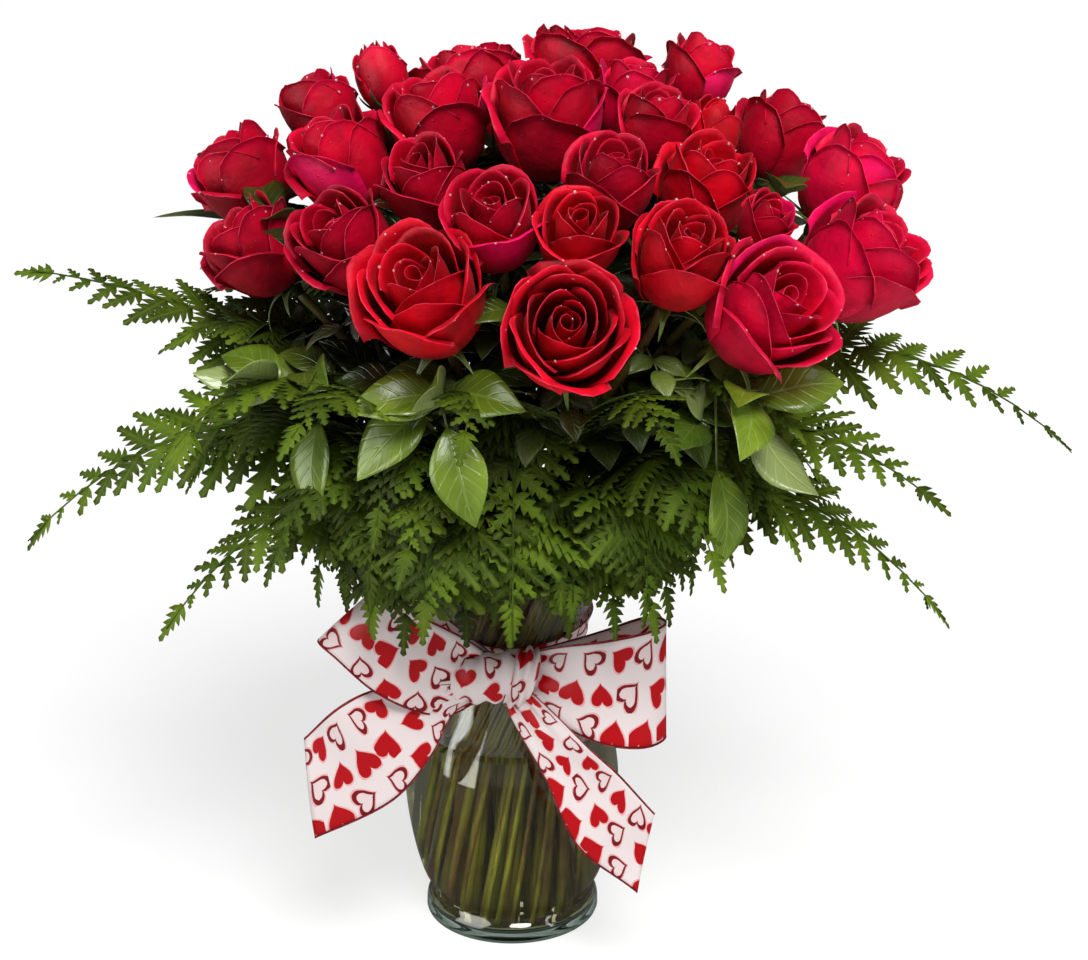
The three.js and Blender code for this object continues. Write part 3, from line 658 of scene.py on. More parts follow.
@dataclass(frozen=True)
class LeafFinish:
    """A leaf: a glossy face, a paler back, lighter veins and soft patches, and painted shade that darkens it
    deep in the bouquet.
    """

    name: str
    face: Place
    other: Place
    back: Place
    vein: Place
    roughness: float = 0.38
    pairs: float = 7.0
    gloss: float = 0.5
    # The value below is how dark the painted shade leaves a leaf deep in the bouquet, fading out over the
    # distances in dark_to_light.
    inside: float = 0.15
    dome_height: float = 0.29
    dome_slope: float = 0.4
    dark_to_light: tuple[float, float] = (0.055, 0.165)
    vein_share: float = 0.28

    def material(self) -> bpy.types.Material:
        """Makes the leaves' material.

        Inside the bouquet it has painted shade: a leaf's distance from the axis, less the dome's slope times
        its height above the dome's foot, steps from dark to light.
        """
        made = Finish(self.name, Roughness=self.roughness, Specular_IOR_Level=self.gloss)
        nodes = made.nodes
        # Painted shade: darker nearer the bouquet's axis, above the dome's foot.
        flat = nodes.add("VectorMath", {0: made.object_place, 1: (1.0, 1.0, 0.0)}, operation="MULTIPLY")
        outward = nodes.add("VectorMath", {0: flat.outputs[0]}, operation="LENGTH").outputs["Value"]
        height = nodes.add("SeparateXYZ", {0: made.object_place}).outputs[2]
        above = nodes.math("MAXIMUM", height, self.dome_height)
        foot = nodes.plus(outward, self.dome_slope * self.dome_height)
        outward = nodes.linear(above, -self.dome_slope, foot)
        inside = nodes.linear(nodes.step(outward, *self.dark_to_light), 1 - self.inside, self.inside)
        tone = nodes.times(nodes.linear(nodes.mark("tone"), 1.0, 0.4), inside)
        face = nodes.scaled(nodes.blend(nodes.mark("side"), self.face, self.back), tone)
        other = nodes.scaled(nodes.blend(nodes.mark("side"), self.other, self.back), tone)
        mottled = nodes.group(
            "mottle",
            {"Place": made.object_place, "Colour": face, "Other": other, "Patch": 38.0, "Grain": 700.0},
        )
        veins = nodes.group("veins", {"Leaf": made.uv, "Pairs": self.pairs})
        veined = nodes.times(nodes.times(veins.outputs["Vein"], self.vein_share), inside)
        made.set("Base Color", nodes.blend(veined, mottled.outputs[0], self.vein))
        grain = nodes.times(mottled.outputs[1], 0.35)
        made.bump(nodes.minus(grain, veins.outputs["Vein"]), 0.0004, 0.7)
        return made.material


@dataclass(frozen=True)
class StemFinish:
    """Stems: green to olive brown by the stem, streaked along it."""

    name: str
    young: Place
    old: Place
    roughness: float = 0.45

    def material(self) -> bpy.types.Material:
        """Makes the stems' material."""
        made = Finish(self.name, Roughness=self.roughness)
        nodes = made.nodes
        streaks = nodes.add("Mapping", {"Vector": made.uv, "Scale": (14.0, 6.0, 1.0)})
        streak = nodes.noise(streaks.outputs[0], 2.0, 4.0)
        share = nodes.step(nodes.plus(nodes.mark("tone"), nodes.minus(streak, 0.5)), 0.3, 0.7)
        mottled = nodes.group(
            "mottle",
            {"Place": made.object_place, "Colour": nodes.blend(share, self.young, self.old),
             "Other": nodes.blend(share, self.old, self.young), "Patch": 24.0, "Grain": 600.0},
        )
        made.set("Base Color", mottled.outputs[0])
        made.bump(nodes.plus(streak, mottled.outputs[1]), 0.0005, 0.5)
        return made.material


@dataclass(frozen=True)
class ClearFinish:
    """Something clear, which lets light from lamps through, and darker low down: its deep colour is painted
    shade there, and in the glass's thick foot partly also its own tint.
    """

    name: str
    colour: Place
    ior: float
    ripple: float
    sparkle: float = 1.0
    # The deep colour is painted shade at the bottom, in the glass's thick foot partly also its own tint; it
    # fades out between the two heights below.
    deep: Place = (1.0, 1.0, 1.0)
    deep_heights: tuple[float, float] = (-2.0, -1.0)

    def material(self) -> bpy.types.Material:
        """Makes the clear material."""
        made = Finish(
            self.name, Base_Color=self.colour, Roughness=0.0, IOR=self.ior, Transmission_Weight=1.0,
            Specular_Tint=(self.sparkle, self.sparkle, self.sparkle),
        )
        nodes = made.nodes
        height = nodes.add("SeparateXYZ", {0: made.object_place}).outputs[2]
        # Painted shade: below these heights the colour turns to the deep colour.
        low = nodes.minus(1.0, nodes.step(height, *self.deep_heights))
        made.set("Base Color", nodes.blend(low, self.colour, self.deep))
        made.bump(nodes.noise(made.object_place, 28.0, 1.0), self.ripple, 0.4)
        clear = nodes.add("BsdfTransparent", {0: tuple(c**2 for c in self.colour)})
        lamps = nodes.add("LightPath").outputs["Is Shadow Ray"]
        mixed = nodes.add("MixShader", {0: lamps, 1: made.shader.outputs[0], 2: clear.outputs[0]})
        nodes.feed(made.tree.nodes["Material Output"].inputs["Surface"], mixed.outputs[0])
        return made.material


@dataclass(frozen=True)
class RibbonFinish:
    """Satin ribbon printed with hearts: pale cloth, red and outlined hearts with a pink ring, red hems."""

    name: str = "hearts_satin"
    cloth: Place = (0.9, 0.83, 0.82)
    shaded: Place = (0.82, 0.66, 0.67)
    halo: Place = (0.9, 0.52, 0.53)
    heart: Place = (0.56, 0.001, 0.006)
    line: Place = (0.28, 0.006, 0.012)
    cell: float = 0.0168
    width: float = 0.048
    hem: float = 0.0009
    warp: float = 340.0
    weft: float = 520.0
    glow_share: float = 0.32

    def material(self) -> bpy.types.Material:
        """Makes the ribbon's material."""
        made = Finish(self.name, Roughness=0.42, Specular_IOR_Level=0.2)
        nodes = made.nodes
        hearts = nodes.group("hearts", {"Cloth": made.uv, "Cell": self.cell})
        across = nodes.add("SeparateXYZ", {0: made.uv}).outputs[1]
        middle = nodes.math("ABSOLUTE", nodes.minus(across, self.width / 2))
        hem = nodes.math("GREATER_THAN", middle, self.width / 2 - self.hem)
        shade = nodes.noise(made.object_place, 55.0, 2.0)
        cloth = nodes.blend(nodes.times(shade, 0.25), self.cloth, self.shaded)
        colour = nodes.blend(hearts.outputs["Halo"], cloth, self.halo)
        colour = nodes.blend(hearts.outputs["Line"], colour, self.line)
        colour = nodes.blend(hearts.outputs["Solid"], colour, self.heart)
        colour = nodes.blend(hem, colour, self.line)
        made.set("Base Color", colour)
        glow = nodes.add("BsdfTranslucent", {0: colour})
        thin = nodes.add("MixShader", {0: self.glow_share, 1: made.shader.outputs[0], 2: glow.outputs[0]})
        nodes.feed(made.tree.nodes["Material Output"].inputs["Surface"], thin.outputs[0])
        warp, weft = (
            nodes.add("TexWave", {"Vector": made.uv, "Scale": scale, "Distortion": 0.0}, bands_direction=way)
            for scale, way in ((self.warp, "X"), (self.weft, "Y"))
        )
        made.bump(nodes.plus(warp.outputs["Fac"], weft.outputs["Fac"]), 0.00006, 0.5)
        return made.material


# The colours of the petals' faces, backs and rims; the rims' colour, used on the rolled lips, is pinker and
# also lighter as a painted highlight
PETAL_COLOURS = {
    CRIMSON: ((0.64, 0.0006, 0.014), (0.68, 0.0008, 0.025), (0.84, 0.004, 0.058)),
    SCARLET: ((0.74, 0.0006, 0.008), (0.72, 0.001, 0.012), (0.9, 0.006, 0.035)),
    ROSE: ((0.8, 0.0008, 0.024), (0.85, 0.001, 0.048), (0.92, 0.008, 0.085)),
    WINE: ((0.46, 0.0004, 0.008), (0.5, 0.0007, 0.018), (0.74, 0.003, 0.05)),
}


@dataclass(frozen=True)
class Whorl:
    """One turn of petals, its lengths as shares of the bloom's radius and its angles in degrees.

    belly is the radius at the widest place, rim the radius where the edge starts to roll, top the
    height there, half_angle how far a petal reaches round to each side, curl and side_curl how far its
    edge rolls out in the middle and at the sides, and roll the length of the rolled edge.
    """

    petals: int
    belly: float
    rim: float
    top: float
    half_angle: float
    curl: float
    side_curl: float
    roll: float


WHORLS: dict[Form, tuple[Whorl, ...]] = {
    CUP: (
        Whorl(4, 0.90, 0.95, 1.44, 62, 64, 84, 0.26),
        Whorl(4, 0.81, 0.82, 1.68, 60, 54, 76, 0.22),
        Whorl(3, 0.69, 0.64, 1.82, 78, 42, 62, 0.18),
        Whorl(3, 0.54, 0.45, 1.82, 72, 30, 50, 0.14),
        Whorl(2, 0.36, 0.27, 1.76, 112, 18, 44, 0.09),
        Whorl(1, 0.19, 0.13, 1.68, 290, 10, 20, 0.05),
    ),
    OPEN: (
        Whorl(5, 0.96, 0.90, 0.92, 50, 70, 96, 0.26),
        Whorl(5, 0.82, 0.76, 1.06, 50, 56, 80, 0.21),
        Whorl(4, 0.64, 0.57, 1.14, 62, 36, 78, 0.15),
        Whorl(3, 0.47, 0.38, 1.20, 72, 24, 54, 0.11),
        Whorl(2, 0.31, 0.22, 1.20, 112, 14, 34, 0.08),
        Whorl(1, 0.16, 0.10, 1.16, 290, 8, 14, 0.04),
    ),
    SMALL: (
        Whorl(3, 0.90, 0.92, 1.56, 80, 60, 82, 0.24),
        Whorl(3, 0.79, 0.73, 1.80, 76, 48, 70, 0.20),
        Whorl(3, 0.62, 0.52, 1.92, 72, 34, 52, 0.15),
        Whorl(2, 0.43, 0.32, 1.88, 112, 18, 46, 0.10),
        Whorl(1, 0.23, 0.15, 1.80, 290, 10, 20, 0.05),
    ),
    BUD: (
        Whorl(3, 1.02, 0.72, 1.96, 82, 44, 70, 0.22),
        Whorl(3, 0.86, 0.48, 2.20, 76, 22, 64, 0.15),
        Whorl(2, 0.58, 0.26, 2.32, 112, 10, 30, 0.09),
        Whorl(1, 0.30, 0.12, 2.34, 290, 6, 12, 0.04),
    ),
}
FORM_HEIGHT = {CUP: 2.0, OPEN: 1.36, SMALL: 2.04, BUD: 2.42}

# How loose the petals of each turn are and how round their edges, from the outermost turn inwards
LOOSENESS = (1.0, 0.75, 0.5, 0.35)
ROUNDING = (0.36, 0.32, 0.26, 0.18)
OPEN_SHARE = 0.24
# The share of outer petals painted hot pink, a highlight where light catches them
LIT_PINK_SHARE = 0.08


@dataclass(frozen=True)
class Bloom:
    """One bloom: its number, place, facing, diameter, form, tone and stem's line.

    petal_body is the share of a petal's length that is below its rolled edge.
    """

    number: int
    base: Array
    facing: Array
    diameter: float
    form: Form
    tone: Tone
    line: Callable[[Array], Array]
    petal_thickness: float = 0.26
    petal_body: float = 0.76

    def petal(
        self, whorl: Whorl, level: int, start: float, fall: float, chance: np.random.Generator
    ) -> Surface:
        """One petal, standing on the origin and opening along +Z.

        Its middle line is a cubic from the base out to the belly and up to the rim. Points to the side
        stop sooner on that line, so that the edge is round. Past the rim the edge rolls out on an arc,
        further at the sides than in the middle. The angle round the bloom grows evenly with u. One
        side lies a little further out than the other, so that the petals lap, and the side that is
        tucked under its neighbour hardly rolls.

        Args:
            whorl: the turn that it belongs to.
            level: the number of turns between it and the outermost.
            start: the direction that it faces, in degrees.
            fall: 0 for an upright petal, 1 for one that has fallen open.
            chance: the bloom's own random numbers.

        Returns:
            The closed petal, in millimetres.
        """
        across, along = (13, 12) if level < 2 else (27 if whorl.petals == 1 else 11, 9)
        u, t = np.meshgrid(np.linspace(-1, 1, across), np.linspace(0, 1, along))
        v = 1 - (1 - t) ** 1.5
        spin, lift, bend, lean = chance.uniform(-1, 1, 4)
        loose, rounding = (row[min(level, 3)] for row in (LOOSENESS, ROUNDING))
        top = whorl.top * (1 + 0.05 * loose * lift - 0.18 * fall)
        rim = whorl.rim * (1 + 0.06 * loose * lean + 0.06 * fall)
        low = 0.03 + 0.04 * level
        corners = np.array([
            [0.09, low],
            [whorl.belly * 0.84, low + 0.02],
            [whorl.belly * 1.04, top * 0.62],
            [rim, top],
        ])
        end = 1 - rounding * np.abs(u) ** (2 + 0.5 * bend)
        body = self.petal_body
        line = bezier(corners, end * np.minimum(v / body, 1))
        way = bezier(corners, end) - bezier(corners, end - 1e-3)
        upright = np.arctan2(way[..., 0], way[..., 1])
        share = np.clip((v - body) / (1 - body), 0, 1)
        spread = np.abs(u + 0.3 * spin) ** 1.6
        curl = whorl.curl + (whorl.side_curl - whorl.curl) * spread + 30 * fall
        curl = np.maximum(np.radians(curl) * (1 + 0.25 * bend), 0.05)
        bent = upright + curl * share
        tucked = np.clip((-u - 0.45) / 0.35, 0, 1)
        turning = whorl.roll * (0.75 + 0.3 * spread + 0.3 * fall) * (1 - 0.85 * tucked) / curl
        radius = line[..., 0] + turning * (np.cos(upright) - np.cos(bent))
        height = line[..., 1] + turning * (np.sin(bent) - np.sin(upright))
        lap = 0.04 if whorl.petals > 1 else 0.09
        frill = np.sin(4 * u + 9 * lift) * v**2 + 0.9 * np.sin(9 * u + 7 * bend) * v**4
        radius = radius * (1 + 0.02 * loose * frill) + lap * u * np.minimum(v * 3, 1)
        ruffle = 0.03 * np.sin(4 * u + 5 * lean) * v**2 + 0.018 * np.sin(11 * u + 6 * spin) * v**6
        height = height + loose * ruffle
        angle = np.radians(start + 12 * loose * spin + whorl.half_angle * u * (1 - 0.1 * v**3))
        grid = stacked(radius * np.cos(angle), radius * np.sin(angle), height) * self.diameter / 2
        made = shell(grid, stacked((u + 1) / 2, v), self.petal_thickness)
        # A few outer petals take the painted hot pink highlight.
        lit_pink_petal = level < 2 and self.tone is not SCARLET and chance.uniform() < LIT_PINK_SHARE
        return made.toned(2.0 if lit_pink_petal else chance.uniform(0, 1))

    def petals(self) -> list[Surface]:
        """The bloom's petals, turn by turn from the outermost, with one or two of those fallen open."""
        chance = seeded(PETAL_SEED + self.number)
        made = []
        turn = chance.uniform(0, 360)
        slack = chance.uniform(0.9, 1.03)
        for level, whorl in enumerate(WHORLS[self.form]):
            whorl = replace(whorl, rim=whorl.rim * slack)
            turn += 180 / whorl.petals + 9
            for k in range(whorl.petals):
                open_wide = level == 0 and self.form is not BUD and chance.uniform() < OPEN_SHARE
                fall = chance.uniform(0.3, 0.7) if open_wide else 0.0
                made.append(self.petal(whorl, level, turn + 360 * k / whorl.petals, fall, chance))
        return made

    def dew(self, petals: list[Surface]) -> Surface:
        """Drops of water on the petals' rims.

        Each is a ball flattened to half along the petal's normal, with its middle on the surface.

        Args:
            petals: the petals that they lie on.

        Returns:
            The drops.
        """
        chance = seeded(DEW_SEED + self.number)
        places, normals = [], []
        for petal in petals:
            half = len(petal.points) // 2
            face, back = petal.points[:half], petal.points[half:]
            rims = np.flatnonzero(petal.uv[:half, 1] > 0.72)
            picked = chance.choice(rims, 2, replace=False)
            out = unit(back[picked] - face[picked])
            places.append(back[picked])
            normals.append(out)
        place, normal = np.vstack(places), np.vstack(normals)
        size = chance.uniform(0.3, 1.05, len(place)) ** 1.4
        k = np.arange(6)
        about = 2 * pi * k / len(k)
        down = np.radians([35, 90, 145])[:, None]
        rings = stacked(np.sin(down) * np.cos(about), np.sin(down) * np.sin(about), np.cos(down))
        ball = np.concatenate([[[0, 0, 1]], rings.reshape(-1, 3), [[0, 0, -1]]])
        foot = len(ball) - 1
        last = foot - len(k)
        along = (ball @ normal.T).T
        points = place[:, None] + size[:, None, None] * (ball - 0.5 * along[..., None] * normal[:, None])
        ahead = np.roll(k, -1)
        fans = np.vstack([stacked(0, k + 1, ahead + 1), stacked(foot, ahead + last, k + last)])
        walls = np.vstack([
            stacked(low + k, low + len(k) + k, low + len(k) + ahead, low + ahead) for low in (1, 1 + len(k))
        ])
        starts = (np.arange(len(points)) * len(ball))[:, None, None]
        return Surface(
            points.reshape(-1, 3), (walls[None] + starts).reshape(-1, 4), (fans[None] + starts).reshape(-1, 3)
        )

    def surfaces(self) -> tuple[Surface, Surface]:
        """The bloom and its dew, stood on its base along its facing."""
        petals = self.petals()
        made = Surface.joined(petals), self.dew(petals)
        for surface in made:
            surface.points = stood(surface.points, self.base, self.facing, GOLDEN_TURN * self.number)
        return made


def stood(points: Array, base: Array, facing: Array, roll: float) -> Array:
    """Points turned from standing on the origin along +Z to standing on a base along a facing.

    Args:
        points: the points.
        base: where the origin goes.
        facing: where +Z goes, by the shortest turn.
        roll: degrees by which they turn about +Z first.

    Returns:
        The moved points.
    """
    turn = np.array(Vector(UP).rotation_difference(Vector(facing)).to_matrix())
    cos, sin = on_circle(1.0, roll)
    rolled = np.array([[cos, -sin, 0], [sin, cos, 0], [0, 0, 1.0]])
    return points @ (turn @ rolled).T + base


def on_circle(radius: float, azimuth: float) -> Array:
    """A place on a circle about the axis, by its azimuth in degrees."""
    return radius * np.array([math.cos(radians(azimuth)), math.sin(radians(azimuth))])


def carried(place: Array, rate: float, rise: Array) -> Array:
    """A point carried along its straight line: moved square to its own radius by rate times rise."""
    turned = np.array([-place[1], place[0]])
    return place + rate * np.asarray(rise, float)[..., None] * turned


def straight(*parts: tuple[Array, float]) -> Callable[[Array], Array]:
    """The straight line of a stem by height, from places at the waist and the rates that carry them.

    Args:
        parts: each a place and its rate, such as a bundle's middle and a stem's offset from it.

    Returns:
        What gives the point of the stem at a height: the carried places added up.
    """

    def line(height: Array) -> Array:
        """The point of the stem at a height."""
        height = np.asarray(height, float)
        flat = sum(carried(place, rate, height - WAIST_HEIGHT) for place, rate in parts)
        return np.concatenate([flat, height[..., None]], axis=-1)

    return line


def leaving_mouth(line: Callable[[Array], Array]) -> tuple[Array, Array]:
    """Where a stem starts to bend above the mouth, and its direction there."""
    start = line(BEND_HEIGHT)
    return start, unit(start - line(WAIST_HEIGHT))


def stalk_line(azimuth: float) -> Callable[[Array], Array]:
    """The straight line of a green's stalk in the ring round the rose stems."""
    return straight((on_circle(STALK_RING, azimuth - NECK_LAG), BUNDLE_TURN))


def leaning_line(azimuth: float) -> Callable[[Array], Array]:
    """The line of a short stalk outside that ring, which leans more and ends under the water's level."""
    return straight((on_circle(LEANING_RING, azimuth - LEANING_LAG), LEANING_TURN))


@dataclass(frozen=True)
class Rose:
    """One bloom in a bundle: its middle, diameter, form and tone, and how far it turns up to the light.

    lift is the length of the upward part that is added to its facing away from the bouquet's heart.
    """

    at: Place
    diameter: float
    form: Form
    tone: Tone
    lift: float = 0.5


ROSES: dict[str, tuple[Rose, ...]] = {
    "middle": (
        Rose((-39, 2, 484), 58, CUP, CRIMSON),
        Rose((21, -22, 492), 66, CUP, CRIMSON),
        Rose((68, 19, 490), 50, CUP, ROSE),
        Rose((78, -27, 488), 44, SMALL, CRIMSON),
    ),
    "left": (
        Rose((-150, 25, 446), 56, CUP, WINE),
        Rose((-107, 47, 478), 46, SMALL, WINE),
        Rose((-93, -6, 464), 58, CUP, CRIMSON),
        Rose((-140, -22, 418), 54, CUP, WINE),
    ),
    "front_left": (
        Rose((-86, -92, 442), 56, CUP, WINE, 0.3),
        Rose((-43, -80, 470), 50, SMALL, WINE, 0.35),
        Rose((-42, -140, 428), 66, CUP, SCARLET, 0.6),
    ),
    "front": (
        Rose((-7, -116, 460), 52, SMALL, CRIMSON, 0.35),
        Rose((30, -162, 416), 68, CUP, SCARLET, 0.1),
        Rose((37, -127, 456), 46, SMALL, SCARLET, 0.35),
        Rose((54, -90, 474), 50, SMALL, CRIMSON, 0.6),
        Rose((89, -130, 446), 56, CUP, SCARLET, 0.75),
    ),
    "right": (
        Rose((105, -63, 464), 56, CUP, SCARLET, 0.8),
        Rose((134, -98, 454), 32, SMALL, CRIMSON),
        Rose((136, -124, 415), 68, CUP, ROSE, 0.22),
        Rose((192, -38, 416), 68, CUP, ROSE),
    ),
    "back_right": (
        Rose((106, 58, 496), 44, SMALL, CRIMSON),
        Rose((110, -2, 480), 38, BUD, SCARLET),
        Rose((154, 62, 458), 54, CUP, WINE),
        Rose((190, 14, 446), 60, CUP, ROSE),
        Rose((118, 108, 432), 58, SMALL, CRIMSON),
    ),
    "back": (
        Rose((41, 64, 494), 64, OPEN, CRIMSON),
        Rose((12, 128, 446), 60, SMALL, SCARLET),
        Rose((68, 128, 442), 58, CUP, CRIMSON),
        Rose((38, 165, 398), 58, SMALL, ROSE),
    ),
    "back_left": (
        Rose((-74, 60, 498), 34, BUD, CRIMSON),
        Rose((-22, 60, 484), 64, OPEN, CRIMSON),
        Rose((-104, 98, 436), 56, SMALL, SCARLET),
        Rose((-46, 118, 446), 60, CUP, ROSE),
    ),
}


# Single leaves by bundle: where the stalk leaves its stem, and the blade's base and tip
LONE_LEAVES: dict[str, tuple[tuple[Place, Place, Place], ...]] = {
    "left": (((-71, 31, 407), (-136, 54, 408), (-204, 58, 410)),),
}
LONE_LEAF_WIDTH = 22.0
LONE_LEAF_UP = np.array([0.0, 0.05, 1.0])

# A rose stem's leaves: the shares of its curve between which each stands, and its size
ROSE_LEAVES = ((0.56, 0.68, 28.0), (0.7, 0.8, 30.0), (0.84, 0.92, 24.0))

# A rose leaf's leaflets: how far each turns aside, where on the stalk it starts, and its size
LEAFLETS = ((0, 1.0, 1.0), (58, 0.55, 0.8), (-58, 0.62, 0.8))


def leaf_surface(
    base: Array,
    tip: Array,
    width: float,
    up: Array,
    arch: float = 0.12,
    fold: float = 0.18,
    wave: float = 0.08,
    grid: tuple[int, int] = (7, 12),
    tone: float = 0.5,
) -> Surface:
    """A leaf: a sheet from its base to its tip.

    Its half width is the sine of pi times the share along it to the power 0.85. It is lifted by an
    arch of half a sine, folded up from its midrib, and its edges wave.

    Args:
        base: where it starts.
        tip: where it ends.
        width: its greatest width.
        up: roughly where its face looks.
        arch: the arch's height as a share of its length.
        fold: the rise of its edges as a share of their distance from the midrib.
        wave: the height of the waves as a share of the half width.
        grid: points across and along.
        tone: how light it is.

    Returns:
        The closed leaf.
    """
    way = tip - base
    length = float(np.linalg.norm(way))
    along = way / length
    side = unit(np.cross(up, along))
    face = np.cross(along, side)
    u, v = np.meshgrid(np.linspace(-1, 1, grid[0]), np.linspace(0, 1, grid[1]))
    half = width / 2 * (np.sin(pi * v**LEAF_BROADEST) * 0.97 + 0.03 * (1 - v))
    lift = length * arch * np.sin(pi * v) + fold * np.abs(u) * half
    lift = lift + wave * half * np.sin(2.5 * pi * v + (u > 0) * 1.9) * u**2
    points = (
        base
        + along * (v * length)[..., None]
        + side * (u * half)[..., None]
        + face * lift[..., None]
    )
    uv = stacked((u + 1) / 2, v)
    return shell(points, uv, LEAF_THICKNESS).toned(tone)


@dataclass
class Calyx:
    """The green hip under a bloom and its sepals, which leave it at a rise in degrees."""

    hip_radius: float = 4.6
    hip_height: float = 7.0
    sepals: int = 5
    rise: float = 20.0
    sepal_share: float = 0.46
    sepal_width: float = 9.0
    lightness: float = 1.7
    thickness: float = 0.6

    def sepal(self, length: float, azimuth: float, droop: float, twist: float) -> Surface:
        """One sepal under a bloom that opens along +Z.

        Its middle line leaves the hip outwards and bends on a circle by the droop. Its width falls from
        the base as one less the share to the power 0.8, and its edges turn up.

        Args:
            length: from the hip to its tip.
            azimuth: the direction that it leaves in, in degrees.
            droop: the degrees by which it bends, down if positive.
            twist: how far its tip swings to one side, as a share of its length.

        Returns:
            The closed sepal.
        """
        u, v = np.meshgrid(np.linspace(-1, 1, 5), np.linspace(0, 1, 9))
        start, turn = radians(self.rise), radians(droop)
        bent = start - turn * v
        run = (np.sin(start) - np.sin(bent)) / turn * length
        rise = (np.cos(bent) - math.cos(start)) / turn * length
        half = self.sepal_width / 2 * (1 - v) ** 0.8 * (0.6 + 0.4 * np.sin(pi * np.minimum(v * 2.2, 1)))
        out = self.hip_radius * 0.7 + run
        sideways = u * half + twist * length * v**2
        lift = rise + 0.35 * np.abs(u) * half - 1.2
        cos, sin = on_circle(1.0, azimuth)
        grid = stacked(out * cos - sideways * sin, out * sin + sideways * cos, lift)
        return shell(grid, stacked((u + 1) / 2, v), self.thickness)

    def surface(self, bloom: Bloom) -> Surface:
        """The hip and sepals of a bloom, in place."""
        chance = seeded(CALYX_SEED + bloom.number)
        heights = np.linspace(0, 1, 7)
        radii = STEM_RADIUS + (self.hip_radius - STEM_RADIUS) * np.sin(heights * pi * 0.62) / 0.94
        path = np.outer((heights - 1) * self.hip_height, UP)
        parts = [tube(path, radii, 10, np.array([1.0, 0, 0])).toned(0.25)]
        hugging = bloom.form is BUD
        for k in range(self.sepals):
            droop = chance.uniform(-75, -50) if hugging else chance.uniform(30, 120)
            length = bloom.diameter * self.sepal_share * chance.uniform(0.85, 1.2) * (1.5 if hugging else 1)
            sepal = self.sepal(length, 360 / self.sepals * k, droop, chance.uniform(-0.12, 0.12))
            parts.append(sepal.toned(self.lightness))
        made = Surface.joined(parts)
        made.points = stood(made.points, bloom.base, bloom.facing, GOLDEN_TURN * bloom.number)
        return made


@dataclass
class RoseBundle:
    """The blooms whose stems are pressed together in one bundle at the neck."""

    name: str
    first_number: int
    rows: tuple[Rose, ...]

    def blooms(self) -> list[Bloom]:
        """The bundle's blooms with their stems' lines, neighbours above being neighbours in the neck."""
        ats = np.array([rose.at for rose in self.rows], float)
        middle = ats[:, :2].mean(0)
        off = middle - HEART[:2]
        azimuth = math.degrees(math.atan2(off[1], off[0])) - NECK_LAG
        place = np.zeros(2) if self.name == "middle" else on_circle(BUNDLE_RING, azimuth)
        about = np.degrees(np.arctan2(*(ats[:, :2] - middle).T[::-1]))
        order = np.argsort(about, kind="stable")
        spread = BUNDLE_SPACING / (2 * math.sin(pi / len(order)))
        first = about[order[0]] - 2 * NECK_LAG
        made = []
        for k, which in enumerate(order):
            rose = self.rows[which]
            facing = unit(unit(ats[which] - HEART) + rose.lift * UP)
            height = FORM_HEIGHT[rose.form] * rose.diameter / 2
            base = ats[which] + facing * (rose.diameter * BLOOM_ABOVE - height)
            offset = on_circle(spread, first + 360 * k / len(order))
            line = straight((place, BUNDLE_TURN), (offset, STEM_TURN))
            made.append(Bloom(self.first_number + k, base, facing, rose.diameter, rose.form, rose.tone, line))
        return made

    def stem(self, bloom: Bloom) -> tuple[Surface, Array]:
        """A stem from the vase's floor to its bloom's hip.

        It is straight to the mouth, then a cubic that arrives along the bloom's facing. It thickens by
        a tenth at each node.

        Args:
            bloom: the bloom that it carries.

        Returns:
            The stem, and the corners of its curve above the mouth.
        """
        start, leaving = leaving_mouth(bloom.line)
        hip = bloom.base - bloom.facing * (GAP + HIP_DEPTH)
        handle = np.linalg.norm(hip - start) * STEM_STIFFNESS
        corners = np.array([start, start + leaving * handle, hip - bloom.facing * handle, hip])
        low = bloom.line(np.linspace(STEM_FOOT, BEND_HEIGHT, 9)[:-1])
        path = np.vstack([low, bezier(corners, np.linspace(0, 1, 22))])
        run = np.concatenate([[0], np.cumsum(np.linalg.norm(np.diff(path, axis=0), axis=1))])
        shifted = run + NODE_SHIFT * bloom.number
        nodes = 1 + NODE_SWELL * np.cos(2 * pi * shifted / NODE_SPACING) ** 8
        return tube(path, STEM_RADIUS * nodes, 10), corners

    def build(self, finishes: "Finishes") -> None:
        """Makes each bloom, and one piece each of the bundle's stems, greens and dew."""
        stems: list[Surface] = []
        greens: list[Surface] = []
        drops: list[Surface] = []
        for bloom in self.blooms():
            petals, dew = bloom.surfaces()
            head = mesh_piece(f"rose_head_{bloom.number:02d}", petals, finishes.petals[bloom.tone])
            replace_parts(head, f"rose_{bloom.number:02d}")
            drops.append(dew)
            stem, corners = self.stem(bloom)
            chance = seeded(LEAF_SEED + bloom.number)
            stems.append(stem.toned(chance.uniform(0, 1)))
            greens.append(Calyx().surface(bloom))
            for low, high, size in ROSE_LEAVES:
                greens.extend(RoseLeaf(corners, chance, low, high, size).surfaces())
        for places in LONE_LEAVES.get(self.name, ()):
            root, base, tip = np.array(places, float)
            greens.append(tube(np.linspace(root, base, 5), 0.8, 5))
            greens.append(leaf_surface(base, tip, LONE_LEAF_WIDTH, LONE_LEAF_UP, 0.05, 0.1, 0.05, tone=0.1))
        canes = mesh_piece(f"rose_canes_{self.name}", Surface.joined(stems), finishes.cane)
        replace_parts(canes, f"rose_stems_{self.name}")
        mesh_piece(f"rose_greens_{self.name}", Surface.joined(greens), finishes.sepal)
        mesh_piece(f"rose_dew_{self.name}", Surface.joined(drops), finishes.dew)


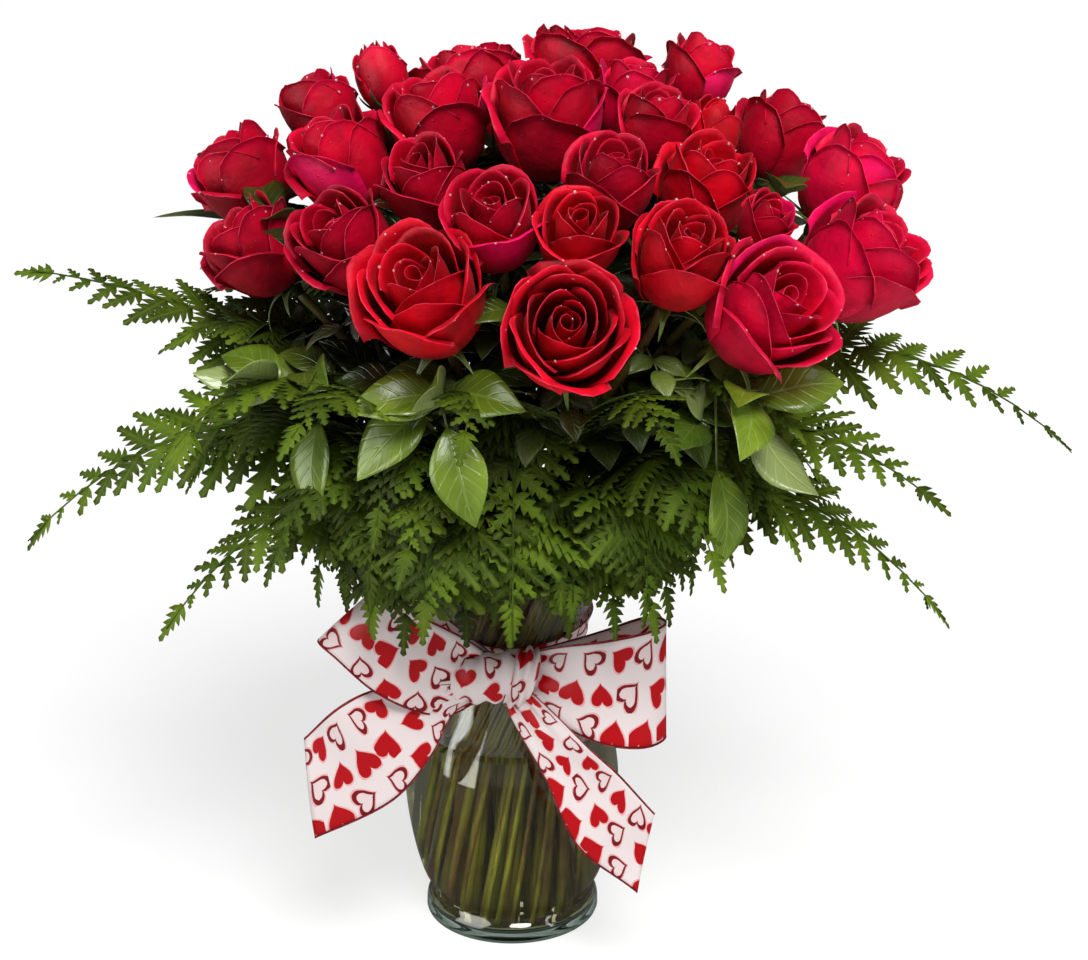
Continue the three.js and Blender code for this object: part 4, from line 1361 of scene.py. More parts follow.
@dataclass
class RoseLeaf:
    """A compound leaf on a rose stem: a stalk with three leaflets."""

    corners: Array
    chance: np.random.Generator
    low: float
    high: float
    size: float

    def surfaces(self) -> list[Surface]:
        """The leaf's stalk and leaflets, out from the bouquet's middle, below the bloom."""
        at = self.chance.uniform(self.low, self.high)
        base, ahead = bezier(self.corners, np.array([at, at + 0.02]))
        along = unit(ahead - base)
        out = base - np.array([HEART[0], HEART[1], base[2]])
        out = unit(out + self.chance.uniform(-25, 25, 3))
        way = unit(out - along * (out @ along) + 0.25 * along)
        end = base + way * self.chance.uniform(22, 30)
        parts = [tube(np.linspace(base, end, 4), np.array([0.9, 0.7, 0.6, 0.5]), 5)]
        side = unit(np.cross(way, UP))
        for turn, start, size in LEAFLETS:
            root = base + (end - base) * start
            angle = radians(turn)
            aim = unit(way * math.cos(angle) + side * math.sin(angle) - UP * self.chance.uniform(0, 0.5))
            length = size * self.size * self.chance.uniform(0.85, 1.1)
            up = unit(UP + 0.6 * way)
            leaf = leaf_surface(root, root + aim * length, length * 0.6, up, grid=(5, 8), wave=0.2)
            parts.append(leaf.toned(self.chance.uniform(0.2, 0.9)))
        return parts


@dataclass(frozen=True)
class FrondPlan:
    """A fern frond's course above the mouth.

    azimuth, reach and tip place its tip, arch and out are the height of its arch and the share of the
    reach there, start is the share of the curve where the blade starts, width the longest leaflet's
    length, roll the blade's tilt in degrees, and leaning whether its stalk stands outside the ring.
    """

    azimuth: float
    reach: float
    tip: float
    arch: float
    out: float = 0.64
    start: float = 0.36
    width: float = 54.0
    roll: float = 0.0
    leaning: bool = False

    def line(self) -> tuple[Callable[[Array], Array], float]:
        """The line of its stalk in the vase, and the height where it starts."""
        if self.leaning:
            return leaning_line(self.azimuth), LEANING_FOOT
        return stalk_line(self.azimuth), STEM_FOOT


FRONDS = {
    "left_upper": FrondPlan(174, 272, 388, 378, 0.62, 0.38, 54, -22),
    "left_long": FrondPlan(192, 272, 258, 362, 0.64, 0.36, 62, -32),
    "left_lower": FrondPlan(209, 212, 226, 318, 0.64, 0.36, 56, -12),
    "front_left": FrondPlan(238, 142, 230, 388, 0.85, 0.42, 50, -12),
    "front": FrondPlan(271, 146, 234, 420, 0.85, 0.42, 50),
    "front_right": FrondPlan(303, 142, 232, 374, 0.85, 0.42, 50, 12),
    "right_lower": FrondPlan(346, 250, 212, 322, 0.64, 0.36, 58, 20),
    "right": FrondPlan(335, 252, 300, 364, 0.64, 0.38, 56, 22),
    "right_long": FrondPlan(2, 320, 286, 402, 0.62, 0.34, 60, 26),
    "back_right": FrondPlan(39, 235, 280, 362, 0.66, 0.36, 56),
    "back": FrondPlan(84, 215, 265, 362, 0.7, 0.36, 56),
    "back_left": FrondPlan(134, 235, 285, 362, 0.66, 0.36, 56),
}


@dataclass
class Frond:
    """A leatherleaf frond: a rib, and pinnae to both sides that are cut into forward teeth."""

    plan: FrondPlan
    seed: int
    pairs: int = 12
    sweep: float = 62.0
    thickness: float = 0.35
    tooth_pitch: float = 5.2
    teeth: tuple[int, int] = (3, 8)
    spread: float = 0.31
    sag: float = 0.0034
    shortest: float = 8.0
    tip_length: float = 24.0

    def curve(self) -> tuple[Array, Array]:
        """The corners of the frond's cubic above the mouth, and the blade's sideways direction."""
        plan = self.plan
        start, leaving = leaving_mouth(plan.line()[0])
        x, y = on_circle(1, plan.azimuth)
        corners = np.array([
            start,
            start + leaving * (plan.arch - start[2]) * 0.7,
            [x * plan.reach * plan.out, y * plan.reach * plan.out, plan.arch],
            [x * plan.reach, y * plan.reach, plan.tip],
        ])
        return corners, unit(np.array([-y, x, math.tan(radians(plan.roll))]))

    def pinnae(self) -> tuple[Array, Array, Array, Array]:
        """Where each pinna starts, its direction, the way its face looks, and its length.

        The length is the longest leaflet's times one less the share along the blade to the power 1.6,
        and shorter again in the blade's first seventh. The last pinna is the frond's own tip.
        """
        chance = seeded(self.seed)
        corners, side = self.curve()
        k = np.arange(2 * self.pairs + 1)
        x = np.append((k[:-1] + 0.5) / (2 * self.pairs) * 0.95, 0.93)
        share = self.plan.start + (1 - self.plan.start) * x
        base = bezier(corners, share)
        along = unit(bezier(corners, np.minimum(share + 0.01, 1)) - bezier(corners, share - 0.01))
        hand = np.where(k % 2 == 0, 1.0, -1.0)[:, None]
        up = unit(np.cross(along, side))
        face = unit(up + 0.2 * chance.uniform(-1, 1, (len(k), 3)) + 0.1 * hand * side)
        angle = np.radians(self.sweep - 20 * x + 5 * chance.uniform(-1, 1, len(k)))
        angle[-1] = 0
        way = np.cos(angle)[:, None] * along + np.sin(angle)[:, None] * hand * side
        way = unit(way - face * (way * face).sum(1, keepdims=True))
        gain = np.minimum(1, 0.62 + 2.1 * x)
        length = self.plan.width * gain * (1 - x**1.6) * chance.uniform(0.92, 1.06, len(k))
        length = np.maximum(length, self.shortest)
        length[-1] = self.tip_length
        return base, way, face, length

    def outline(self, teeth: int) -> tuple[Array, Array]:
        """A pinna's flat half outline, as shares of its length: across and along for each corner.

        The teeth's reach falls as one less the share along it to the power 0.85. The cuts between them
        go almost to the rib near its base and are shallow at its tip. Each tooth has a cut, a shoulder
        and a point that leans forward.

        Args:
            teeth: how many teeth it has on each side.

        Returns:
            The rib's points and the edge's points, each teeth long or three times that.
        """
        y = np.arange(teeth) / teeth * 0.97 + 0.02
        reach = self.spread * (1 - y) ** 0.85
        cut = reach * (0.12 + 0.6 * y)
        rib = stacked(0 * y, y)
        edge = np.stack([
            stacked(cut, y),
            stacked(0.66 * reach, y + 0.1 / teeth + 0.27 * reach),
            stacked(reach, y + 0.5 / teeth + 0.52 * reach),
        ], axis=1)
        return rib, edge

    def cut_blades(
        self, base: Array, way: Array, face: Array, length: Array, teeth: int, tones: Array
    ) -> Surface:
        """The closed blades of the pinnae that have the same number of teeth.

        A blade sags with the square of the length along it, and its edges rise a little and fall again.

        Args:
            base: where each starts.
            way: its direction.
            face: where its upper side looks.
            length: its length.
            teeth: the teeth on each side.
            tones: how light each is.

        Returns:
            The blades.
        """
        rib, edge = self.outline(teeth)
        right = edge.reshape(-1, 2)
        left = right * [-1, 1]
        flat = np.vstack([rib, [[0, 1]], right, left])
        x, y = flat[:, 0] * length[:, None], flat[:, 1] * length[:, None]
        across = np.cross(way, face)
        lift = -self.sag * y**2 + 0.16 * np.abs(x) - 0.02 * x**2
        middle = (
            base[:, None]
            + across[:, None] * x[..., None]
            + way[:, None] * y[..., None]
            + face[:, None] * lift[..., None]
        )
        half = face[:, None] * self.thickness / 2
        points = np.concatenate([middle + half, middle - half], axis=1)
        corners = len(flat)
        k = np.arange(teeth)
        apex = teeth
        first = teeth + 1
        tops = []
        rims = []
        for start, mirrored in ((first, False), (first + 3 * teeth, True)):
            cut, shoulder, point = start + 3 * k, start + 3 * k + 1, start + 3 * k + 2
            ahead = np.append(cut[1:], apex)
            beyond = k + 1
            faces = np.concatenate([
                stacked(k, cut, point),
                stacked(cut, shoulder, point),
                stacked(k, point, ahead),
                stacked(k, ahead, beyond)[:-1],
            ])
            loop = np.concatenate([[0], stacked(cut, shoulder, point).ravel(), [apex]])
            a, b = loop[:-1], loop[1:]
            if mirrored:
                faces, a, b = faces[:, ::-1], b, a
            tops.append(faces)
            rims.append(stacked(b, a, a + corners, b + corners))
        top = np.vstack(tops)
        starts = (np.arange(len(points)) * 2 * corners)[:, None, None]
        uv = stacked(flat[:, 0] * 1.4 + 0.5, flat[:, 1])
        return Surface(
            points.reshape(-1, 3),
            (np.vstack(rims)[None] + starts).reshape(-1, 4),
            (np.vstack([top, top[:, ::-1] + corners])[None] + starts).reshape(-1, 3),
            np.tile(uv, (2 * len(points), 1)),
            np.tile(np.repeat([0.0, 1.0], corners), len(points)),
            np.repeat(tones, 2 * corners),
        )

    def blades(self) -> Surface:
        """Every pinna's blade."""
        base, way, face, length = self.pinnae()
        tones = seeded(self.seed + 7).uniform(0.1, 1, len(base))
        counts = np.clip(np.round(length / self.tooth_pitch), *self.teeth).astype(int)
        made = []
        for teeth in np.unique(counts):
            same = counts == teeth
            made.append(self.cut_blades(base[same], way[same], face[same], length[same], teeth, tones[same]))
        return Surface.joined(made)

    def ribs(self) -> tuple[Surface, Surface]:
        """The stalk from the vase's floor to over the mouth, and the ribs of the frond and its pinnae."""
        corners, _ = self.curve()
        line, foot = self.plan.line()
        low = line(np.linspace(foot, BEND_HEIGHT, 6)[:-1])
        path = np.vstack([low, bezier(corners, np.linspace(0, 1, 22))])
        radius = LEANING_RADIUS if self.plan.leaning else STALK_RADIUS
        stalk = tube(path[:10], radius, 6).toned(seeded(self.seed).uniform(0, 1))
        parts = [tube(path[8:], np.linspace(radius, 0.4, len(path) - 8), 6).toned(0.35)]
        base, way, face, length = self.pinnae()
        for start, d, f, size in zip(base, way, face, length):
            run = np.linspace(0, size, 4)[:, None]
            middle = start + d * run - self.sag * run**2 * f
            parts.append(tube(middle, np.linspace(0.5, 0.2, 4), 3, f).toned(0.3))
        return stalk, Surface.joined(parts)

    def build(self, name: str, finishes: "Finishes", node: str | None = None) -> Surface:
        """Makes the frond's blades and ribs as one piece.

        Args:
            name: the piece's name.
            finishes: all the finishes.
            node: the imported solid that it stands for.

        Returns:
            The stalk's surface, which joins the others in the vase.
        """
        stalk, ribs = self.ribs()
        piece = mesh_piece(name, Surface.joined([self.blades(), ribs]), finishes.fern)
        if node:
            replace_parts(piece, node)
        return stalk


# Leafy stems: azimuth, arch, end, and leaves by the share of the stem, the tip and the width
LEAFY_STEMS: dict[str, tuple[float, Place, Place, tuple[tuple[float, Place, float], ...]]] = {
    "front": (253, (-26, -92, 400), (-34, -148, 366), (
        (0.86, (-78, -140, 326), 30), (0.92, (-82, -146, 366), 28), (0.9, (10, -172, 376), 28),
        (0.97, (-34, -182, 394), 28), (0.98, (-16, -160, 308), 30),
    )),
    "left": (220, (-72, -60, 372), (-125, -100, 366), (
        (0.84, (-100, -112, 292), 28), (0.78, (-150, -66, 348), 28), (0.86, (-92, -128, 372), 26),
        (0.93, (-168, -84, 366), 28), (0.98, (-146, -136, 378), 28),
    )),
    "right": (325, (86, -70, 378), (130, -130, 366), (
        (0.84, (112, -120, 268), 30), (0.8, (92, -142, 372), 30), (0.9, (162, -140, 318), 32),
        (0.95, (118, -174, 350), 30), (0.98, (176, -112, 370), 30),
    )),
    "back": (108, (-30, 88, 372), (-40, 150, 366), (
        (0.84, (-66, 148, 306), 30), (0.8, (4, 160, 352), 30), (0.9, (-88, 164, 352), 30),
        (0.98, (-40, 200, 346), 30),
    )),
}


# The dark hollow under the front bloom: its azimuths, and the heights of the arches left out there
HOLLOW = (268.0, 304.0, 350.0, 400.0)

# The tips of the leaves that show their pale backs
PALE_TIPS = ((162, -140, 318), (92, -142, 372), (-168, -84, 366))

# A leafy stem in the gap between the right blooms, by azimuth, arch and end
GAP_STEMS: tuple[tuple[float, Place, Place], ...] = (
    (352, (112, -12, 428), (150, -26, 450)),
)

# Where the small leaves stand, as shares of the stem's curve
SMALL_LEAVES = (0.5, 0.6, 0.7, 0.8, 0.88, 0.96)


@dataclass
class LeafyStem:
    """A woody stem with smooth pointed leaves, from the vase's floor to its end."""

    azimuth: float
    arch: Array
    end: Array
    leaves: tuple[tuple[float, Place, float], ...] = ()
    rise: float = 100.0
    leaning: bool = False
    longest: float = 54.0

    def path(self) -> tuple[Array, Array]:
        """The stem's points, and the corners of its curve above the mouth."""
        line = (leaning_line if self.leaning else stalk_line)(self.azimuth)
        foot = LEANING_FOOT if self.leaning else STEM_FOOT
        start, leaving = leaving_mouth(line)
        corners = np.array([start, start + leaving * self.rise, self.arch, self.end], float)
        low = line(np.linspace(foot, BEND_HEIGHT, 6)[:-1])
        return np.vstack([low, bezier(corners, np.linspace(0, 1, 20))]), corners

    def surfaces(self, chance: np.random.Generator) -> tuple[Surface, Surface]:
        """The stem's stalk in the vase, and the rest with its given leaves and smaller ones between."""
        path, corners = self.path()
        radius = LEANING_RADIUS if self.leaning else STALK_RADIUS
        stalk = tube(path[:8], radius, 6).toned(chance.uniform(0, 1))
        parts = [tube(path[6:], np.linspace(radius, 1.0, len(path) - 6), 6).toned(0.1)]
        for along, tip, width in self.leaves:
            knot, tip = bezier(corners, np.array(along)), np.array(tip, float)
            way = tip - knot
            size = float(np.linalg.norm(way))
            base = tip - way * min(1.0, self.longest / size)
            up = unit(np.array([base[0], base[1], 0.0])) + 0.8 * UP
            up = -up if tuple(tip) in PALE_TIPS else up
            course = (knot, knot + 0.3 * (base - knot) + 4 * UP, base - 0.05 * way, base + 0.02 * way)
            petiole = bezier(course, np.linspace(0, 1, 6))
            parts.append(tube(petiole, np.linspace(0.9, 0.6, 6), 5).toned(0.2))
            parts.append(leaf_surface(base, tip, width, up, tone=chance.uniform(0.3, 0.9)))
        for k, along in enumerate(SMALL_LEAVES):
            base, ahead = bezier(corners, np.array([along, along + 0.02]))
            way = unit(ahead - base)
            side = unit(np.cross(way, UP)) * (1 if k % 2 else -1)
            aim = unit(side + 0.55 * way + 0.3 * chance.uniform(-1, 1, 3))
            length = chance.uniform(34, 46)
            up = unit(UP + 0.5 * way + 0.3 * chance.uniform(-1, 1, 3))
            leaf = leaf_surface(base, base + aim * length, length * 0.55, up, grid=(7, 10))
            parts.append(leaf.toned(chance.uniform(0.2, 0.9)))
        return stalk, Surface.joined(parts)


# The upper and lower edge of each loop and tail, from the knot on
RIBBON_EDGES: dict[str, tuple[tuple[Place, ...], tuple[Place, ...]]] = {
    "left_loop": (
        ((-8, -56, 186), (-26, -66, 204), (-48, -78, 222), (-63, -80, 236), (-70, -72, 240),
         (-63, -62, 236), (-44, -60, 220), (-8, -52, 186)),
        ((-8, -58, 170), (-34, -70, 158), (-72, -86, 178), (-97, -82, 199), (-106, -72, 204),
         (-98, -62, 201), (-70, -60, 180), (-8, -54, 170)),
    ),
    "right_loop": (
        ((2, -56, 188), (28, -68, 199), (55, -74, 206), (80, -66, 208), (88, -54, 208),
         (80, -44, 207), (52, -48, 200), (2, -52, 186)),
        ((2, -58, 170), (24, -72, 156), (50, -82, 146), (76, -76, 141), (88, -62, 141),
         (82, -52, 143), (54, -56, 152), (2, -54, 170)),
    ),
    "left_tail": (
        ((-8, -62, 180), (-40, -72, 180), (-76, -76, 176), (-94, -78, 168), (-116, -72, 144)),
        ((-8, -62, 166), (-31, -70, 160), (-44, -80, 138), (-64, -84, 113), (-111, -74, 83)),
    ),
    "right_tail": (
        ((2, -62, 178), (16, -70, 168), (45, -84, 144), (62, -88, 128), (81, -86, 105)),
        ((-4, -62, 166), (0, -70, 158), (20, -82, 123), (39, -88, 84), (72, -88, 55)),
    ),
}


def glass_outline(steps: int) -> Array:
    """Radius and height of the outer glass from foot to mouth, as a smooth curve through its points."""
    return through(np.array(VASE_OUTLINE, float), np.linspace(0, 1, steps))


def glass_radius(height: Array) -> Array:
    """The outer radius of the glass at a height."""
    outline = glass_outline(120)
    return np.interp(height, outline[:, 1], outline[:, 0])


@dataclass
class Ribbon:
    """One wide ribbon round the neck, tied in a bow: a band, a knot, a wrap, two loops and two tails."""

    width: float = 48.0
    neck: float = 42.0
    thickness: float = 0.45
    hem_radius: float = 0.36
    pleats: float = 3.0
    pleat_depth: float = 2.6
    pleat_reach: float = 26.0
    across: int = 17

    def hem(self, name: str, edges: list[Array], finishes: "Finishes") -> bpy.types.Object:
        """The stitched wire in a strip's two edges, as one piece."""
        parts = [tube(edge, self.hem_radius, 6, np.gradient(edge, axis=0)[0][[1, 2, 0]]) for edge in edges]
        return mesh_piece(name, Surface.joined(parts), finishes.hem)

    def strip(self, name: str, steps: int, closed: bool, finishes: "Finishes") -> None:
        """A loop or a tail: a strip between two edges, pleated near the knot.

        Each row runs from the upper to the lower edge. It is bowed a little, and near the knot it is
        moved along the strip's normal by a sine of three pleats that fades with the distance.

        Args:
            name: its name in RIBBON_EDGES.
            steps: rows along it.
            closed: whether both ends are at the knot.
            finishes: all the finishes.
        """
        upper, lower = (through(edge, np.linspace(0, 1, steps)) for edge in RIBBON_EDGES[name])
        middle = (upper + lower) / 2
        run = np.concatenate([[0], np.cumsum(np.linalg.norm(np.diff(middle, axis=0), axis=1))])
        w = np.linspace(0, 1, self.across)
        flat = upper[:, None] * (1 - w)[:, None] + lower[:, None] * w[:, None]
        normals = unit(np.cross(np.gradient(flat, axis=0), np.gradient(flat, axis=1)))
        off = np.minimum(run, run[-1] - run) if closed else run
        fade = np.exp(-((off / self.pleat_reach) ** 1.5))[:, None]
        pleat = self.pleat_depth * fade * np.sin(2 * pi * self.pleats * w)
        bow = 1.6 * np.sin(pi * w) * (1 - fade)
        slow = 1.1 * np.sin(2 * pi * (run[:, None] / 70 + 0.6 * w)) * (1 - fade)
        grid = flat + normals * (pleat + bow + slow)[..., None]
        uv = stacked(run[:, None] * MM + 0.05 * len(name), w * self.width * MM)
        made = shell(grid, uv, self.thickness)
        piece = mesh_piece(f"ribbon_{name}", made, finishes.ribbon)
        hem = self.hem(f"ribbon_{name}_hem", [grid[:, 0], grid[:, -1]], finishes)

    def band(self, finishes: "Finishes") -> None:
        """The turn round the neck: rings just off the glass, rippled, drawn narrower at the front.

        It starts 153 mm up and is 42 mm wide. Towards the front it starts up to 7 mm higher and is up
        to 14 mm narrower. A ripple of three and a half waves across it stands off the glass.
        """
        angles = 2 * pi * np.arange(96) / 96
        w = np.linspace(0, 1, 13)[:, None]
        front = np.exp(-((np.angle(np.exp(1j * (angles + pi / 2))) / 0.9) ** 2))
        height = 153 + 7 * front + (42 - 14 * front) * w
        ripple = 0.5 + 0.5 * np.sin(2 * pi * 3.5 * w + 2 * np.sin(3 * angles))
        radius = glass_radius(height) + 1.0 + 1.1 * ripple
        grid = stacked(radius * np.cos(angles), radius * np.sin(angles), height)
        uv = stacked(angles * self.neck * MM, w * self.width * MM)
        made = shell(grid, uv, self.thickness, wrap=True)
        piece = mesh_piece("ribbon_band", made, finishes.ribbon)
        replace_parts(piece, "ribbon")

    def barrel(
        self, name: str, middle: Place, reach: Place, lean: float, folds: float, phase: float, width: float,
        finishes: "Finishes",
    ) -> None:
        """A turn of gathered cloth round the bow's middle.

        Round it, the cloth is an ellipse in depth and height. Along it, both shrink to the ends as one
        less 0.3 of the share to the power 2.4, times gathers of one plus 0.08 of a sine.

        Args:
            name: the piece's name.
            middle: its middle.
            reach: half its length, its depth and its height.
            lean: how far its top leans to the right, as a share of the height.
            folds: the gathers along it.
            phase: where the gathers start.
            width: the flat width of the cloth.
            finishes: all the finishes.
        """
        turns = np.linspace(0, 2 * pi, 73)[:-1]
        w = np.linspace(-1, 1, 27)[:, None]
        swell = 1 - 0.3 * np.abs(w) ** 2.4
        gather = 1 + 0.08 * np.sin(folds * pi * w + phase + 1.4 * np.sin(turns))
        rise = reach[2] * swell * gather * np.sin(turns)
        x = middle[0] + reach[0] * w + lean * rise
        y = middle[1] + reach[1] * swell * gather * np.cos(turns)
        z = middle[2] + rise + 1.2 * w
        grid = stacked(x, y, z)
        around = pi * (reach[1] + reach[2])
        uv = stacked(turns / (2 * pi) * around * MM + 0.9 + phase, (w + 1) / 2 * width * MM)
        made = shell(grid, uv, self.thickness, wrap=True)
        piece = mesh_piece(name, made, finishes.ribbon)

    def build(self, finishes: "Finishes") -> None:
        """Makes every part of the bow."""
        self.band(finishes)
        for name, middle, reach, lean, folds, phase, width, under in (
            ("ribbon_knot", (-12, -63, 178), (22, 11.0, 14.5), 0.0, 4.0, 0.6, self.width, "ribbon_band"),
            ("ribbon_wrap", (6.5, -63, 178), (8, 12.6, 17.5), 0.25, 3.0, 0.0, self.width / 2, "ribbon_knot"),
        ):
            self.barrel(name, middle, reach, lean, folds, phase, width, finishes)
        for name in RIBBON_EDGES:
            closed = name.endswith("loop")
            self.strip(name, 72 if closed else 56, closed, finishes)


@dataclass
class Vase:
    """The blown glass vase and the water in it."""

    sides: int = 112
    bend_radius: float = 7.0

    def inside(self, outline: Array, wall: float) -> Array:
        """An outline moved inwards by a wall's thickness, square to itself."""
        way = unit(np.gradient(outline, axis=0))
        return outline - wall * stacked(way[:, 1], -way[:, 0])

    def glass(self) -> Surface:
        """The vase: its outline turned, with a rounded foot and lip and a thick floor."""
        outer = glass_outline(84)
        inner = self.inside(outer[outer[:, 1] > INNER_START], GLASS_WALL)
        turn = np.linspace(0, pi, 9)[1:-1, None]
        top = (outer[-1] + inner[-1]) / 2
        across = (outer[-1] - inner[-1]) / 2
        lip = top + across * np.cos(turn) + np.array([-across[1], across[0]]) * np.sin(turn)
        bend = np.linspace(0, pi / 2, 7)[:, None]
        low = inner[0]
        deep = low[1] - GLASS_FLOOR
        floor = np.hstack([
            low[0] - self.bend_radius * (1 - np.cos(bend)),
            GLASS_FLOOR + deep * (1 - np.sin(bend)),
        ])[1:]
        middle = [[20, GLASS_FLOOR], [0.1, GLASS_FLOOR]]
        return lathe(np.vstack([VASE_FOOT, outer, lip, inner[::-1], floor, middle]), self.sides)

    def water(self) -> Surface:
        """The water: what the glass holds up to its level, touching the wall."""
        outer = glass_outline(84)
        wet = (outer[:, 1] > INNER_START) & (outer[:, 1] < WATER_LEVEL - 3)
        wall = self.inside(outer[wet], GLASS_WALL - 0.05)
        edge = float(glass_radius(np.array(WATER_LEVEL))) - GLASS_WALL
        bed = GLASS_FLOOR + 0.02
        start = [[0.1, bed], [wall[0, 0] - self.bend_radius, bed], [wall[0, 0] - 2.0, bed + 2.6]]
        surface = [[edge + 0.1, WATER_LEVEL + 0.6], [edge - 2.5, WATER_LEVEL], [0.1, WATER_LEVEL]]
        return lathe(np.vstack([start, wall, surface]), self.sides)

    def build(self, finishes: "Finishes") -> None:
        """Makes the glass and the water."""
        glass = mesh_piece("glass_vase", self.glass(), finishes.glass)
        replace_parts(glass, "vase")
        water = mesh_piece("vase_water", self.water(), finishes.water)
        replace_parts(water, "water")


class Finishes:
    """Every finish of the bouquet, each made once."""

    def __init__(self) -> None:
        """Makes the shared groups and the materials."""
        for build in (build_mottle, build_veins, build_dew, build_hearts):
            build()
        self.petals = {
            tone: PetalFinish(f"{tone.value}_petals", *colours).material()
            for tone, colours in PETAL_COLOURS.items()
        }
        self.cane = StemFinish("rose_cane", (0.2, 0.2, 0.014), (0.105, 0.038, 0.013)).material()
        self.stalk = StemFinish("green_stalk", (0.26, 0.29, 0.02), (0.1, 0.04, 0.012)).material()
        # The drops are half diffuse and pinkish white in patches: a painted highlight for their glints.
        drops = Finish("dew_drops", Roughness=0.06, IOR=1.4, Transmission_Weight=0.5, Specular_IOR_Level=0.8)
        glint_patches = drops.nodes.noise(drops.object_place, 300.0, 1.0)
        drops.set("Base Color", drops.nodes.blend(glint_patches, (0.95, 0.62, 0.66), (1.0, 0.9, 0.92)))
        self.dew = drops.material
        self.sepal = LeafFinish(
            "sepals", (0.08, 0.13, 0.012), (0.14, 0.2, 0.03), (0.2, 0.26, 0.09), (0.25, 0.31, 0.1), 0.4
        ).material()
        self.fern = LeafFinish(
            "fern_green", (0.052, 0.095, 0.004), (0.105, 0.165, 0.008), (0.1, 0.15, 0.022),
            (0.18, 0.25, 0.03), roughness=0.6, pairs=5.0, gloss=0.1,
        ).material()
        self.leaf = LeafFinish(
            "smooth_leaf", (0.09, 0.15, 0.006), (0.18, 0.27, 0.02), (0.29, 0.37, 0.12),
            (0.32, 0.44, 0.1), 0.28,
        ).material()
        self.dark_leaf = LeafFinish(
            "dark_leaf", (0.03, 0.065, 0.005), (0.07, 0.12, 0.01), (0.13, 0.19, 0.05), (0.14, 0.2, 0.04), 0.24
        ).material()
        # The glass's deep colour darkens its foot: partly the thick glass's own tint, partly painted shade.
        self.glass = ClearFinish(
            "vase_glass", (0.92, 0.955, 0.93), 1.5, 0.0004, 1.0, (0.1, 0.15, 0.115), (0.003, 0.016)
        ).material()
        # The water's brownish tint is partly painted shade that darkens the stems seen through it, and its
        # deep colour is painted shade at its bottom.
        self.water = ClearFinish(
            "clear_water", (0.76, 0.7, 0.48), 1.333, 0.0, 0.2, (0.6, 0.54, 0.34), (0.01, 0.04)
        ).material()
        self.ribbon = RibbonFinish().material()
        hem = Finish("ribbon_hem", Roughness=0.5)
        stitch = hem.nodes.noise(hem.object_place, 420.0, 1.0)
        dark = hem.nodes.step(stitch, 0.45, 0.6)
        hem.set("Base Color", hem.nodes.blend(dark, (0.3, 0.008, 0.014), (0.03, 0.006, 0.006)))
        hem.bump(hem.nodes.noise(hem.object_place, 1800.0, 1.0), 0.0002, 0.6)
        self.hem = hem.material


def hollow(azimuth: float, height: float) -> bool:
    """Whether a filling green would close the dark hollow under the front bloom."""
    return HOLLOW[0] < azimuth < HOLLOW[1] and HOLLOW[2] < height < HOLLOW[3]


